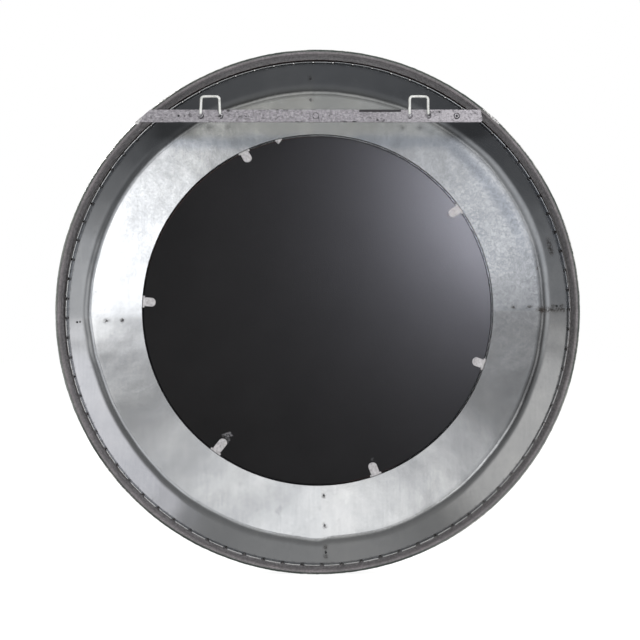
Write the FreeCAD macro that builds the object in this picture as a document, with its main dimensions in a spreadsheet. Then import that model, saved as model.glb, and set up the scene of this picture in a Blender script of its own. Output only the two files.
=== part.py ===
import FreeCAD, Part
import math
import os

import Sketcher

# Round galvanised wall mirror, built in millimetres.
# +Z is up, -Y is the reflective front and +Y is the wall.
# The origin is the middle of the hanging bar's rear face.
# "left" and "right" in names are as seen from behind, so left is +X.

SIZES = [
    # overall position of the round parts
    ("axis_drop", 340.5, "hanging bar centre above the hoop axis"),
    ("dish_drop", 3.3, "face sheets sit this much below the hoop axis"),
    ("opening_rise", 3.4, "mirror opening sits this much above the hoop axis"),
    ("board_shift", 0.7, "board sits off the middle of the opening by this much each way"),
    # rim hoop with a wired rear edge
    ("outer_radius", 457.0, "hoop over its rolled edge"),
    ("bead_radius", 4.8, "rolled edge, outside"),
    ("hoop_gauge", 1.2, "hoop sheet thickness"),
    ("hoop_depth", 52.0, "front edge of the hoop behind the bar face"),
    ("front_lip_radius", 440.5, "front edge of the hoop, turned inwards"),
    ("edge_wire_radius", 3.4, "wire inside the rolled edge"),
    ("curl_end_angle", 230.0, "where the rolled edge stops, round its own centre"),
    # face sheets
    ("sheet_gauge", 0.9, "face sheet thickness"),
    ("face_depth", 75.0, "rear side of the flat ring"),
    ("sheet_inner_radius", 300.0, "face sheet blank before the opening is cut"),
    ("bend_start_radius", 390.0, "where the flat ring starts to bend"),
    ("bend_radius", 45.0, "soft bend from ring to shoulder"),
    ("slope_angle", 40.0, "shoulder slope from the flat ring"),
    ("root_radius", 6.0, "bend from shoulder to flange"),
    ("flange_radius", 443.0, "inside of the flange"),
    ("flange_free_depth", 31.0, "free edge of the flange"),
    ("notch_depth", 9.0, "notches in the flange"),
    ("notch_width", 1.6, "notches in the flange"),
    ("notches_per_sheet", 20, "notch pitches in a quarter"),
    ("quarter_angle", 90.0, "sweep of one face sheet"),
    ("first_seam_angle", 1.0, "turn of the seams from level"),
    ("lap_angle", 2.0, "lap strip past the seam"),
    ("lap_root_angle", 0.5, "lap strip behind its own sheet"),
    ("lap_end_radius", 430.0, "outer end of the lap strip"),
    ("opening_radius", 315.5, "mirror opening"),
    # spot welds
    ("spot_radius", 2.0, "seam spot weld"),
    ("spot_height", 0.4, "spot weld stands proud"),
    ("spot_angle", 0.9, "seam spots past the seam"),
    ("shoulder_spot_at", 424.0, "seam spot on the shoulder"),
    ("flange_spot_radius", 1.6, "flange spot weld"),
    ("flange_spot_depth", 38.9, "flange spot welds behind the bar face"),
    ("flange_spots", 80, "one for each flange leaf"),
    ("flange_spot_gap", 0.02, "spot weld behind the round flange face"),
    # hanging bar and loops
    ("bar_height", 21.8, "hanging bar"),
    ("bar_gauge", 3.0, "hanging bar"),
    ("bar_end_radius", 456.0, "bar ends follow the hoop"),
    ("bar_hole_spacing", 483.0, "screw holes"),
    ("bar_hole_radius", 2.2, "screw holes"),
    ("ring_mark_x", 3.3, "round mark off the middle of the bar"),
    ("ring_mark_radius", 5.5, "round mark, outside"),
    ("ring_mark_width", 0.9, "round mark"),
    ("ring_mark_depth", 0.5, "round mark"),
    ("loop_wire_radius", 2.25, "hanging loops"),
    ("loop_left_x", 186.2, "middle of the left loop"),
    ("loop_right_x", -175.6, "middle of the right loop"),
    ("loop_half_width", 15.8, "leg centre from the middle"),
    ("loop_top", 33.0, "centre of the top of the loop"),
    ("loop_end", 2.5, "lower ends of the legs"),
    ("loop_corner", 5.0, "bend of the wire centre"),
    ("loop_weld_radius", 3.6, "weld at each leg"),
    ("loop_weld_rise", 0.6, "centre of the weld behind the bar's rear face"),
    ("loop_weld_drop", 0.4, "centre of the weld below the leg's end"),
    ("bar_weld_radius", 3.4, "weld lumps at the bar ends"),
    ("bar_weld_uneven", 0.3, "every second lump is this much smaller"),
    ("bar_weld_pitch", 1.44, "weld lumps at the bar ends"),
    ("bar_weld_drop", 0.8, "first lump below the bar's lower edge"),
    ("bar_weld_depth", 1.6, "weld lumps in front of the bar's rear face"),
    ("bar_weld_at", 452.0, "weld lumps from the hoop axis"),
    # board, glass and bezel
    ("board_radius", 313.0, "backing board"),
    ("board_depth", 76.0, "rear face of the board"),
    ("board_gauge", 3.0, "backing board"),
    ("board_chamfer", 0.8, "edge of the board"),
    ("cushion_inner_radius", 300.0, "cushion ring"),
    ("cushion_radius", 311.5, "cushion ring"),
    ("cushion_gauge", 2.9, "cushion ring"),
    ("glass_radius", 312.5, "edge of the glass"),
    ("glass_edge_depth", 82.0, "rear corner of the glass edge"),
    ("glass_gauge", 4.0, "glass"),
    ("dome_radius", 1240.7, "rear surface of the dome"),
    ("bezel_radius", 315.3, "inside of the bezel wall"),
    ("bezel_gauge", 1.2, "bezel sheet"),
    ("bezel_flange_radius", 332.0, "bezel flange in front of the face sheets"),
    ("bezel_flange_depth", 76.9, "rear side of the bezel flange, in front of the laps"),
    ("bezel_lip_radius", 302.5, "front lip of the bezel"),
    ("bezel_lip_depth", 86.0, "lip at the bezel wall"),
    ("bezel_lip_rise", 3.0, "lip follows the dome"),
    # retaining tongues
    ("tab_gauge", 1.0, "tongue sheet"),
    ("tab_leg_radius", 315.1, "outside of the tongue leg"),
    ("tab_leg_depth", 85.0, "front end of the tongue leg"),
    ("tab_half_width", 7.8, "tongue"),
    ("tab_ear_half_width", 10.5, "shoulders at the root"),
    ("tab_ear_length", 4.2, "shoulders at the root"),
    ("tab_ear_slope", 1.5, "sloping end of the shoulders"),
    ("tab_bend", 0.9, "outside of the tongue bend"),
    ("stub_length", 9.0, "broken tongue"),
    ("stub_half_width", 6.5, "broken tongue"),
    ("stub_tip_shift", 2.0, "broken tongue, tip off its middle"),
]

# Name, turn from the top towards +X in degrees, and length of each retaining tongue.
TABS = [
    ("retainer_tab_1", -54.4, 24.0),
    ("retainer_tab_2", 25.0, 22.0),
    ("retainer_tab_3", 87.2, 24.0),
    ("retainer_tab_4", 144.2, 30.0),
    ("retainer_tab_5", 199.5, 25.0),
    ("retainer_tab_6", 251.9, 23.0),
]
STUB_TURN = 12.9

# Spot welds on the flat ring: which seam, counted in quarters from the first, and distance from the dish axis.
SEAM_SPOTS = [
    (0, 352.0),
    (0, 381.0),
    (1, 346.0),
    (1, 384.0),
    (2, 350.0),
    (2, 379.0),
    (3, 326.0),
    (3, 380.0),
]

# Name of each face sheet and how many quarters it is turned from the upper right one.
FACE_SHEETS = [
    ("face_sheet_upper_right", 0),
    ("face_sheet_upper_left", 1),
    ("face_sheet_lower_left", 2),
    ("face_sheet_lower_right", 3),
]

doc = FreeCAD.newDocument("wall_mirror")
sheet = doc.addObject("Spreadsheet::Sheet", "Sizes")
parts = []


class Dim:
    """A size that carries both its value and the expression that drives it."""

    def __init__(self, value, text):
        self.value = value
        self.text = text

    def __add__(self, other):
        other = as_dim(other)
        return Dim(self.value + other.value, f"({self.text} + {other.text})")

    def __sub__(self, other):
        other = as_dim(other)
        return Dim(self.value - other.value, f"({self.text} - {other.text})")

    def __mul__(self, other):
        other = as_dim(other)
        return Dim(self.value * other.value, f"({self.text} * {other.text})")

    def __truediv__(self, other):
        other = as_dim(other)
        return Dim(self.value / other.value, f"({self.text} / {other.text})")

    def __neg__(self):
        return Dim(-self.value, f"(0 - {self.text})")


def as_dim(size):
    """A plain number as a Dim."""
    return size if isinstance(size, Dim) else Dim(float(size), repr(float(size)))


def cosine(angle):
    angle = as_dim(angle)
    return Dim(math.cos(math.radians(angle.value)), f"cos({angle.text})")


def sine(angle):
    angle = as_dim(angle)
    return Dim(math.sin(math.radians(angle.value)), f"sin({angle.text})")


def root(size):
    return Dim(math.sqrt(size.value), f"sqrt({size.text})")


class Sizes:
    """Every cell of the sheet by its alias."""


def fill_sheet():
    for row, (alias, value, note) in enumerate(SIZES, start=1):
        sheet.set(f"A{row}", alias)
        sheet.set(f"B{row}", str(value))
        sheet.set(f"C{row}", note)
        sheet.setAlias(f"B{row}", alias)
        setattr(Sizes, alias, Dim(float(value), f"Sizes.{alias}"))
    doc.recompute()


def bind(thing, prop, size):
    """Drives one property of an object from the sheet."""
    thing.setExpression(prop, as_dim(size).text)


def new_body(name):
    body = doc.addObject("PartDesign::Body", name)
    body.Label = name
    parts.append(body)
    return body


def place(thing, x=0.0, y=0.0, z=0.0, turn=None):
    """Puts an object in the row frame, turned about +Y."""
    thing.Placement = FreeCAD.Placement(
        FreeCAD.Vector(as_dim(x).value, as_dim(y).value, as_dim(z).value),
        FreeCAD.Rotation(FreeCAD.Vector(0, 1, 0), as_dim(turn).value if turn is not None else 0.0),
    )
    bind(thing, "Placement.Base.x", x)
    bind(thing, "Placement.Base.y", y)
    bind(thing, "Placement.Base.z", z)
    if turn is not None:
        bind(thing, "Placement.Rotation.Angle", turn)


def origin_feature(body, role):
    """One of the body's own origin planes or axes."""
    return {feature.Role: feature for feature in body.Origin.OriginFeatures}[role]


def new_sketch(body, name, plane, offset=None):
    """A sketch on one of the body's own planes, moved along that plane's normal."""
    sketch = body.newObject("Sketcher::SketchObject", name)
    sketch.AttachmentSupport = (origin_feature(body, plane), [""])
    sketch.MapMode = "FlatFace"
    if offset is not None:
        sketch.AttachmentOffset = FreeCAD.Placement(
            FreeCAD.Vector(0, 0, as_dim(offset).value), FreeCAD.Rotation()
        )
        bind(sketch, "AttachmentOffset.Base.z", offset)
    return sketch


def dimension(sketch, kind, size, *where):
    index = sketch.addConstraint(Sketcher.Constraint(kind, *where, size.value))
    sketch.setExpression(f"Constraints[{index}]", size.text)


def pin_point(sketch, segment, end, x, y):
    """Fixes one end of a segment at (x, y)."""
    for kind, axis, size in (("DistanceX", -2, as_dim(x)), ("DistanceY", -1, as_dim(y))):
        if size.value == 0.0:
            sketch.addConstraint(Sketcher.Constraint("PointOnObject", segment, end, axis))
        else:
            dimension(sketch, kind, size, -1, 1, segment, end)


def arc_geometry(start, finish, centre, ccw):
    """The arc between two corners about a centre."""
    centre = FreeCAD.Vector(as_dim(centre[0]).value, as_dim(centre[1]).value, 0)
    angles = [math.atan2(p.y - centre.y, p.x - centre.x) for p in (start, finish)]
    if not ccw:
        angles.reverse()
    if angles[1] <= angles[0]:
        angles[1] += 2 * math.pi
    circle = Part.Circle(centre, FreeCAD.Vector(0, 0, 1), (start - centre).Length)
    return Part.ArcOfCircle(circle, angles[0], angles[1])


def draw(sketch, corners, arcs=None, closed=True):
    """Draws a chain of lines through the corners. arcs maps a segment's number to (radius, centre, ccw)."""
    arcs = arcs or {}
    spots = [FreeCAD.Vector(as_dim(x).value, as_dim(y).value, 0) for x, y in corners]
    count = len(corners) if closed else len(corners) - 1
    ends = []
    for number in range(count):
        start, finish = spots[number], spots[(number + 1) % len(spots)]
        if number in arcs:
            radius, centre, ccw = arcs[number]
            segment = sketch.addGeometry(arc_geometry(start, finish, centre, ccw), False)
            dimension(sketch, "Radius", as_dim(radius), segment)
            ends.append((segment, 1 if ccw else 2, 2 if ccw else 1))
        else:
            segment = sketch.addGeometry(Part.LineSegment(start, finish), False)
            ends.append((segment, 1, 2))
    for number, (segment, first, last) in enumerate(ends):
        pin_point(sketch, segment, first, *corners[number])
        if closed or number + 1 < count:
            follower, follower_first, _ = ends[(number + 1) % count]
            sketch.addConstraint(
                Sketcher.Constraint("Coincident", segment, last, follower, follower_first)
            )
        else:
            pin_point(sketch, segment, last, *corners[number + 1])


def draw_circle(sketch, x, y, radius):
    circle = Part.Circle(
        FreeCAD.Vector(as_dim(x).value, as_dim(y).value, 0), FreeCAD.Vector(0, 0, 1), as_dim(radius).value
    )
    segment = sketch.addGeometry(circle, False)
    pin_point(sketch, segment, 3, x, y)
    dimension(sketch, "Radius", as_dim(radius), segment)


def revolve(body, sketch, angle=360.0, second_angle=None):
    """Spins a sketch of (radius, y) about the body's Y axis."""
    feature = body.newObject("PartDesign::Revolution", sketch.Name + "_spin")
    feature.Profile = sketch
    feature.ReferenceAxis = (sketch, ["V_Axis"])
    feature.Angle = as_dim(angle).value
    bind(feature, "Angle", angle)
    if second_angle is not None:
        feature.Type = "TwoAngles"
        feature.Angle2 = as_dim(second_angle).value
        bind(feature, "Angle2", second_angle)
    sketch.Visibility = False
    return feature


def pad(body, sketch, length):
    feature = body.newObject("PartDesign::Pad", sketch.Name + "_pad")
    feature.Profile = sketch
    bind(feature, "Length", length)
    return feature


def pocket(body, sketch, length=None, both_ways=False):
    """Cuts a sketch out: all the way through, or to a length."""
    feature = body.newObject("PartDesign::Pocket", sketch.Name + "_cut")
    feature.Profile = sketch
    if length is None:
        feature.Type = "ThroughAll"
    else:
        bind(feature, "Length", length)
    if both_ways:
        feature.SideType = "Symmetric"
    return feature


def make_hoop():
    """A hoop of sheet with a rolled rear edge and a front edge turned inwards over the shoulder."""
    body = new_body("rim_hoop")
    s = Sizes
    wall = s.outer_radius - s.bead_radius * 2
    outer_wall = wall + s.hoop_gauge
    bead_x = s.outer_radius - s.bead_radius
    bead_y = -(s.bar_gauge + s.bead_radius)
    curl_radius = s.bead_radius - s.hoop_gauge
    front = -s.hoop_depth
    lip_rear = s.hoop_gauge - s.hoop_depth
    curl = (cosine(s.curl_end_angle), sine(s.curl_end_angle))
    corners = [
        (wall, lip_rear),
        (wall, bead_y),
        (bead_x + s.bead_radius * curl[0], bead_y + s.bead_radius * curl[1]),
        (bead_x + curl_radius * curl[0], bead_y + curl_radius * curl[1]),
        (outer_wall, bead_y),
        (outer_wall, front),
        (s.front_lip_radius, front),
        (s.front_lip_radius, lip_rear),
    ]
    arcs = {
        1: (s.bead_radius, (bead_x, bead_y), False),
        3: (curl_radius, (bead_x, bead_y), True),
    }
    sketch = new_sketch(body, "hoop_section", "XY_Plane")
    draw(sketch, corners, arcs)
    revolve(body, sketch)
    place(body, z=-s.axis_drop)


def make_edge_wire():
    body = new_body("rim_edge_wire")
    s = Sizes
    sketch = new_sketch(body, "edge_wire_section", "XY_Plane")
    draw_circle(sketch, s.outer_radius - s.bead_radius, -(s.bar_gauge + s.bead_radius), s.edge_wire_radius)
    revolve(body, sketch)
    place(body, z=-s.axis_drop)


def shoulder_points(offset):
    """Corners of the face sheet's section at a distance in front of its rear side, flat ring first."""
    s = Sizes
    bend_y = s.bend_radius - s.face_depth
    tangent = (sine(s.slope_angle), cosine(s.slope_angle))
    bend = s.bend_radius + offset
    bend_end_x = s.bend_start_radius + bend * tangent[0]
    bend_end_y = bend_y - bend * tangent[1]
    root_x = s.flange_radius - s.root_radius
    rise = (root_x - s.bend_start_radius) + (s.root_radius - s.bend_radius) * tangent[0]
    slope_rise = rise * tangent[0] / tangent[1]
    root_y = bend_y + (s.root_radius - s.bend_radius) * tangent[1] + slope_rise
    root_start_x = root_x + (s.root_radius + offset) * tangent[0]
    root_start_y = root_y - (s.root_radius + offset) * tangent[1]
    return {
        "bend_centre": (s.bend_start_radius, bend_y),
        "bend_end": (bend_end_x, bend_end_y),
        "root_centre": (root_x, root_y),
        "root_start": (root_start_x, root_start_y),
        "root_end": (s.flange_radius + offset, root_y),
    }


def make_face_sheet(name, quarter):
    """A quarter of the dish: flat ring, soft bend, shoulder, notched flange, and a lap past one edge."""
    body = new_body(name)
    s = Sizes
    rear, front = shoulder_points(as_dim(0.0)), shoulder_points(s.sheet_gauge)
    lap_front = shoulder_points(s.sheet_gauge * 2)
    top = -s.flange_free_depth
    front_y = -(s.face_depth + s.sheet_gauge)
    lap_y = -(s.face_depth + s.sheet_gauge * 2)

    section = new_sketch(body, name + "_section", "XY_Plane")
    corners = [
        (s.sheet_inner_radius, -s.face_depth),
        (s.bend_start_radius, -s.face_depth),
        rear["bend_end"],
        rear["root_start"],
        rear["root_end"],
        (s.flange_radius, top),
        (s.flange_radius + s.sheet_gauge, top),
        front["root_end"],
        front["root_start"],
        front["bend_end"],
        (s.bend_start_radius, front_y),
        (s.sheet_inner_radius, front_y),
    ]
    arcs = {
        1: (s.bend_radius, rear["bend_centre"], True),
        3: (s.root_radius, rear["root_centre"], True),
        7: (s.root_radius + s.sheet_gauge, rear["root_centre"], False),
        9: (s.bend_radius + s.sheet_gauge, rear["bend_centre"], False),
    }
    draw(section, corners, arcs)
    revolve(body, section, s.quarter_angle).Reversed = True

    slope = sine(s.slope_angle) / cosine(s.slope_angle)
    lap_near_y, lap_far_y = (
        side["bend_end"][1] + (s.lap_end_radius - side["bend_end"][0]) * slope for side in (front, lap_front)
    )
    lap = new_sketch(body, name + "_lap", "XY_Plane")
    corners = [
        (s.sheet_inner_radius, front_y),
        (s.bend_start_radius, front_y),
        front["bend_end"],
        (s.lap_end_radius, lap_near_y),
        (s.lap_end_radius, lap_far_y),
        lap_front["bend_end"],
        (s.bend_start_radius, lap_y),
        (s.sheet_inner_radius, lap_y),
    ]
    arcs = {
        1: (s.bend_radius + s.sheet_gauge, rear["bend_centre"], True),
        5: (s.bend_radius + s.sheet_gauge * 2, rear["bend_centre"], False),
    }
    draw(lap, corners, arcs)
    revolve(body, lap, s.lap_angle, s.lap_root_angle)

    notch = new_sketch(body, name + "_notch", "XY_Plane")
    inside, outside = s.flange_radius - 2.0, s.flange_radius + s.sheet_gauge + 2.0
    bottom = top - s.notch_depth
    draw(notch, [(inside, top + 2.0), (inside, bottom), (outside, bottom), (outside, top + 2.0)])
    cut = pocket(body, notch, s.notch_width, both_ways=True)
    pattern = body.newObject("PartDesign::PolarPattern", name + "_notches")
    pattern.Originals = [cut]
    pattern.Axis = (origin_feature(body, "Y_Axis"), [""])
    pattern.Reversed = True
    bind(pattern, "Angle", s.quarter_angle)
    bind(pattern, "Occurrences", s.notches_per_sheet + 1)
    body.Tip = pattern

    turn = s.first_seam_angle + 270.0 + s.quarter_angle * quarter
    rise = s.opening_rise + s.dish_drop
    opening = new_sketch(body, name + "_opening", "XZ_Plane")
    draw_circle(opening, -(rise * sine(turn)), rise * cosine(turn), s.opening_radius)
    pocket(body, opening, both_ways=True)
    place(body, z=-(s.axis_drop + s.dish_drop), turn=turn)


def radial_disc(radius, height, at, y, tilt, angle):
    """A short disc on the dish: distance from the axis, tilt from +Y towards the axis, turn about +Y."""
    disc = Part.makeCylinder(radius, height, FreeCAD.Vector(0, 0, 0), FreeCAD.Vector(0, 1, 0))
    disc.rotate(FreeCAD.Vector(0, 0, 0), FreeCAD.Vector(0, 0, 1), tilt)
    disc.translate(FreeCAD.Vector(at, y, 0))
    disc.rotate(FreeCAD.Vector(0, 0, 0), FreeCAD.Vector(0, 1, 0), angle)
    return disc


def add_shape(name, shape, z):
    feature = doc.addObject("Part::Feature", name)
    feature.Label = name
    feature.Shape = shape
    place(feature, z=z)
    parts.append(feature)


def make_seam_spots():
    """Spot welds where the face sheets lap, on the flat ring and the shoulder."""
    s = Sizes
    size = (s.spot_radius.value, s.spot_height.value)
    seams = [s.first_seam_angle.value + 180.0 + s.quarter_angle.value * quarter for quarter in range(4)]
    spots = [
        radial_disc(*size, at, -s.face_depth.value, 0.0, seams[quarter] + s.spot_angle.value)
        for quarter, at in SEAM_SPOTS
    ]
    bend_end = shoulder_points(as_dim(0.0))["bend_end"]
    out = s.shoulder_spot_at.value - bend_end[0].value
    y = bend_end[1].value + out * math.tan(math.radians(s.slope_angle.value))
    at, tilt = s.shoulder_spot_at.value, s.slope_angle.value
    for seam in seams:
        spots.append(radial_disc(*size, at, y, tilt, seam + s.spot_angle.value))
    add_shape("seam_spot_welds", Part.makeCompound(spots), -(s.axis_drop + s.dish_drop))


def make_flange_spots():
    """One spot weld on each leaf of the flange, set by hand and so a little uneven."""
    s = Sizes
    at = s.flange_radius.value - s.flange_spot_gap.value
    pitch = 360.0 / s.flange_spots.value
    spots = []
    for number in range(int(s.flange_spots.value)):
        uneven = 0.9 * math.sin(2.4 * number) + 0.5 * math.sin(5.1 * number)
        angle = s.first_seam_angle.value + (number + 0.5) * pitch + uneven
        y = 0.8 * math.sin(1.7 * number) - s.flange_spot_depth.value
        spots.append(radial_disc(s.flange_spot_radius.value, s.spot_height.value, at, y, 90.0, angle))
    add_shape("flange_spot_welds", Part.makeCompound(spots), -(s.axis_drop + s.dish_drop))


def make_bar():
    body = new_body("hanging_bar")
    s = Sizes
    half = s.bar_height / 2
    ends = []
    for z in (-half, half):
        out = root(s.bar_end_radius * s.bar_end_radius - (s.axis_drop + z) * (s.axis_drop + z))
        ends.append(out)
    outline = new_sketch(body, "bar_outline", "XZ_Plane")
    corners = [(-ends[0], -half), (ends[0], -half), (ends[1], half), (-ends[1], half)]
    arcs = {
        1: (s.bar_end_radius, (0.0, -s.axis_drop), True),
        3: (s.bar_end_radius, (0.0, -s.axis_drop), True),
    }
    draw(outline, corners, arcs)
    pad(body, outline, s.bar_gauge)
    holes = new_sketch(body, "bar_holes", "XZ_Plane")
    for side in (-0.5, 0.5):
        draw_circle(holes, s.bar_hole_spacing * side, 0.0, s.bar_hole_radius)
    pocket(body, holes, both_ways=True)
    mark = new_sketch(body, "bar_ring_mark", "XZ_Plane")
    draw_circle(mark, s.ring_mark_x, 0.0, s.ring_mark_radius)
    draw_circle(mark, s.ring_mark_x, 0.0, s.ring_mark_radius - s.ring_mark_width)
    pocket(body, mark, s.ring_mark_depth * 2, both_ways=True)
    place(body)


def make_loop(name, middle):
    """A square-shouldered wire loop lying on the rear face of the bar."""
    body = new_body(name)
    s = Sizes
    half, top, end, corner = s.loop_half_width, s.loop_top, s.loop_end, s.loop_corner
    path = new_sketch(body, name + "_path", "XZ_Plane", -s.loop_wire_radius)
    corners = [
        (-half, end),
        (-half, top - corner),
        (corner - half, top),
        (half - corner, top),
        (half, top - corner),
        (half, end),
    ]
    arcs = {
        1: (corner, (corner - half, top - corner), False),
        3: (corner, (half - corner, top - corner), False),
    }
    draw(path, corners, arcs, closed=False)
    section = new_sketch(body, name + "_section", "XY_Plane", end)
    draw_circle(section, -half, s.loop_wire_radius, s.loop_wire_radius)
    wire = body.newObject("PartDesign::AdditivePipe", name + "_wire")
    wire.Profile = section
    wire.Spine = path
    place(body, x=middle)


def primitive(kind, name, x=0.0, y=0.0, z=0.0, **sizes):
    thing = doc.addObject(kind, name)
    for prop, size in sizes.items():
        bind(thing, prop, size)
    place(thing, x, y, z)
    return thing


def boolean(kind, name, base, tools):
    """Cuts every tool from the base, or joins them."""
    if kind == "Part::MultiFuse":
        thing = doc.addObject(kind, name)
        thing.Shapes = [base] + tools
        return thing
    for number, tool in enumerate(tools):
        thing = doc.addObject(kind, f"{name}_{number}")
        thing.Base, thing.Tool = base, tool
        base = thing
    return base


def bar_block(name, in_front=0.0):
    """The bar's own bulk and some room in front of it, as a cutter, so that welds sit on the bar."""
    s = Sizes
    depth = s.bar_gauge + in_front
    return primitive(
        "Part::Box", name,
        x=-s.outer_radius, y=-depth, z=-s.bar_height / 2,
        Length=s.outer_radius * 2, Width=depth, Height=s.bar_height,
    )


def make_loop_welds(name, middle):
    """A weld bead at the end of each leg, on the bar's rear face and around the wire."""
    s = Sizes
    beads = []
    for number, side in enumerate((-1.0, 1.0)):
        x = middle + s.loop_half_width * side
        ball = primitive(
            "Part::Sphere", f"{name}_ball_{number}",
            x=x, y=s.loop_weld_rise, z=s.loop_end - s.loop_weld_drop, Radius=s.loop_weld_radius,
        )
        leg = primitive(
            "Part::Cylinder", f"{name}_leg_{number}", x=x, y=s.loop_wire_radius, z=s.loop_end,
            Radius=s.loop_wire_radius, Height=s.loop_top - s.loop_end,
        )
        bar = bar_block(f"{name}_bar_{number}", in_front=s.loop_weld_radius)
        beads.append(boolean("Part::Cut", f"{name}_cut_{number}", ball, [leg, bar]))
    joined = doc.addObject("Part::Compound", name)
    joined.Links = beads
    joined.Label = name
    parts.append(joined)


def make_bar_weld(name, side):
    """Weld lumps in the corner between the lower edge of the bar and the rolled edge of the hoop."""
    s = Sizes
    lumps = []
    for number in range(4):
        z = s.bar_weld_pitch * number - s.bar_height / 2 - s.bar_weld_drop
        x = root(s.bar_weld_at * s.bar_weld_at - (s.axis_drop + z) * (s.axis_drop + z)) * side
        radius = s.bar_weld_radius - s.bar_weld_uneven * (number % 2)
        lumps.append(
            primitive("Part::Sphere", f"{name}_lump_{number}", x=x, y=-s.bar_weld_depth, z=z, Radius=radius)
        )
    lump = boolean("Part::MultiFuse", f"{name}_lumps", lumps[0], lumps[1:])
    ring = primitive(
        "Part::Torus", f"{name}_bead", y=-(s.bar_gauge + s.bead_radius), z=-s.axis_drop,
        Radius1=s.outer_radius - s.bead_radius, Radius2=s.bead_radius,
    )
    ring.Placement = FreeCAD.Placement(ring.Placement.Base, FreeCAD.Rotation(FreeCAD.Vector(1, 0, 0), 90))
    weld = boolean("Part::Cut", f"{name}_trim", lump, [ring, bar_block(f"{name}_bar")])
    weld.Label = name
    parts.append(weld)


def make_board():
    body = new_body("backing_board")
    s = Sizes
    rear, front = -s.board_depth, -(s.board_depth + s.board_gauge)
    sketch = new_sketch(body, "board_section", "XY_Plane")
    corners = [
        (0.0, rear),
        (s.board_radius - s.board_chamfer, rear),
        (s.board_radius, rear - s.board_chamfer),
        (s.board_radius, front),
        (0.0, front),
    ]
    draw(sketch, corners)
    revolve(body, sketch)
    place(body, x=s.board_shift, z=-(s.axis_drop - s.opening_rise + s.board_shift))


def make_cushion():
    body = new_body("glass_cushion")
    s = Sizes
    rear = -(s.board_depth + s.board_gauge)
    sketch = new_sketch(body, "cushion_section", "XY_Plane")
    corners = [
        (s.cushion_inner_radius, rear),
        (s.cushion_radius, rear),
        (s.cushion_radius, rear - s.cushion_gauge),
        (s.cushion_inner_radius, rear - s.cushion_gauge),
    ]
    draw(sketch, corners)
    revolve(body, sketch)
    place(body, z=-(s.axis_drop - s.opening_rise))


def make_glass():
    """A convex dome of even thickness with a ground edge."""
    body = new_body("mirror_glass")
    s = Sizes
    front_radius = s.dome_radius + s.glass_gauge
    across = s.glass_radius * s.glass_radius
    centre = root(s.dome_radius * s.dome_radius - across) - s.glass_edge_depth
    sketch = new_sketch(body, "glass_section", "XY_Plane")
    corners = [
        (0.0, centre - s.dome_radius),
        (0.0, centre - front_radius),
        (s.glass_radius, centre - root(front_radius * front_radius - across)),
        (s.glass_radius, -s.glass_edge_depth),
    ]
    arcs = {
        1: (front_radius, (0.0, centre), True),
        3: (s.dome_radius, (0.0, centre), False),
    }
    draw(sketch, corners, arcs)
    revolve(body, sketch)
    place(body, z=-(s.axis_drop - s.opening_rise))


def make_bezel():
    """Front ring: a flange in front of the face sheets, a wall, and a lip over the edge of the glass."""
    body = new_body("bezel_ring")
    s = Sizes
    flange = -s.bezel_flange_depth
    lip = -s.bezel_lip_depth
    outer = s.bezel_radius + s.bezel_gauge
    sketch = new_sketch(body, "bezel_section", "XY_Plane")
    corners = [
        (s.bezel_flange_radius, flange),
        (s.bezel_radius, flange),
        (s.bezel_radius, lip),
        (s.bezel_lip_radius, lip - s.bezel_lip_rise),
        (s.bezel_lip_radius, lip - s.bezel_lip_rise - s.bezel_gauge),
        (outer, lip - s.bezel_gauge),
        (outer, flange - s.bezel_gauge),
        (s.bezel_flange_radius, flange - s.bezel_gauge),
    ]
    draw(sketch, corners)
    revolve(body, sketch)
    place(body, z=-(s.axis_drop - s.opening_rise))


def make_tab(name, turn, length, broken=False):
    """A tongue from the bezel, bent inwards over the board, drawn at the top and then turned."""
    body = new_body(name)
    s = Sizes
    edge = s.tab_leg_radius
    ear, half = s.tab_ear_half_width, s.tab_half_width
    ear_end = edge - s.tab_ear_length
    ear_slope = ear_end + s.tab_ear_slope
    tongue = new_sketch(body, name + "_tongue", "XZ_Plane", s.face_depth)
    if broken:
        tip = (s.stub_tip_shift, edge - length)
        corners = [(-s.stub_half_width, edge), tip, (s.stub_half_width, edge)]
        draw(tongue, corners)
        leg_half = s.stub_half_width
    else:
        tip_centre = edge - length + half
        corners = [
            (-ear, edge),
            (-ear, ear_slope),
            (-half, ear_end),
            (-half, tip_centre),
            (0.0, edge - length),
            (half, tip_centre),
            (half, ear_end),
            (ear, ear_slope),
            (ear, edge),
        ]
        quarter_arc = (half, (0.0, tip_centre), True)
        draw(tongue, corners, {3: quarter_arc, 4: quarter_arc})
        leg_half = ear
    pad(body, tongue, s.tab_gauge)
    leg = new_sketch(body, name + "_leg", "XZ_Plane", s.face_depth)
    inner = edge - s.tab_gauge
    draw(leg, [(-leg_half, edge), (-leg_half, inner), (leg_half, inner), (leg_half, edge)])
    pad(body, leg, s.tab_leg_depth - s.face_depth)
    place(body, z=-(s.axis_drop - s.opening_rise), turn=turn)


def check_and_write():
    """Stops on any failed feature or bad shape, then writes one STEP file for each part."""
    for thing in doc.Objects:
        if "Invalid" in thing.State or "Error" in thing.State:
            raise RuntimeError(f"{thing.Name} didn't compute: {thing.State}")
    os.makedirs("parts", exist_ok=True)
    for part in parts:
        shape = part.Shape
        if shape.isNull() or not shape.isValid() or shape.Volume <= 0:
            raise RuntimeError(f"{part.Label} has no valid shape")
        shape.exportStep(f"parts/{part.Label}.step")
        print(f"{part.Label}: {len(shape.Solids)} solids, {shape.Volume:.0f} mm3")


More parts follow.
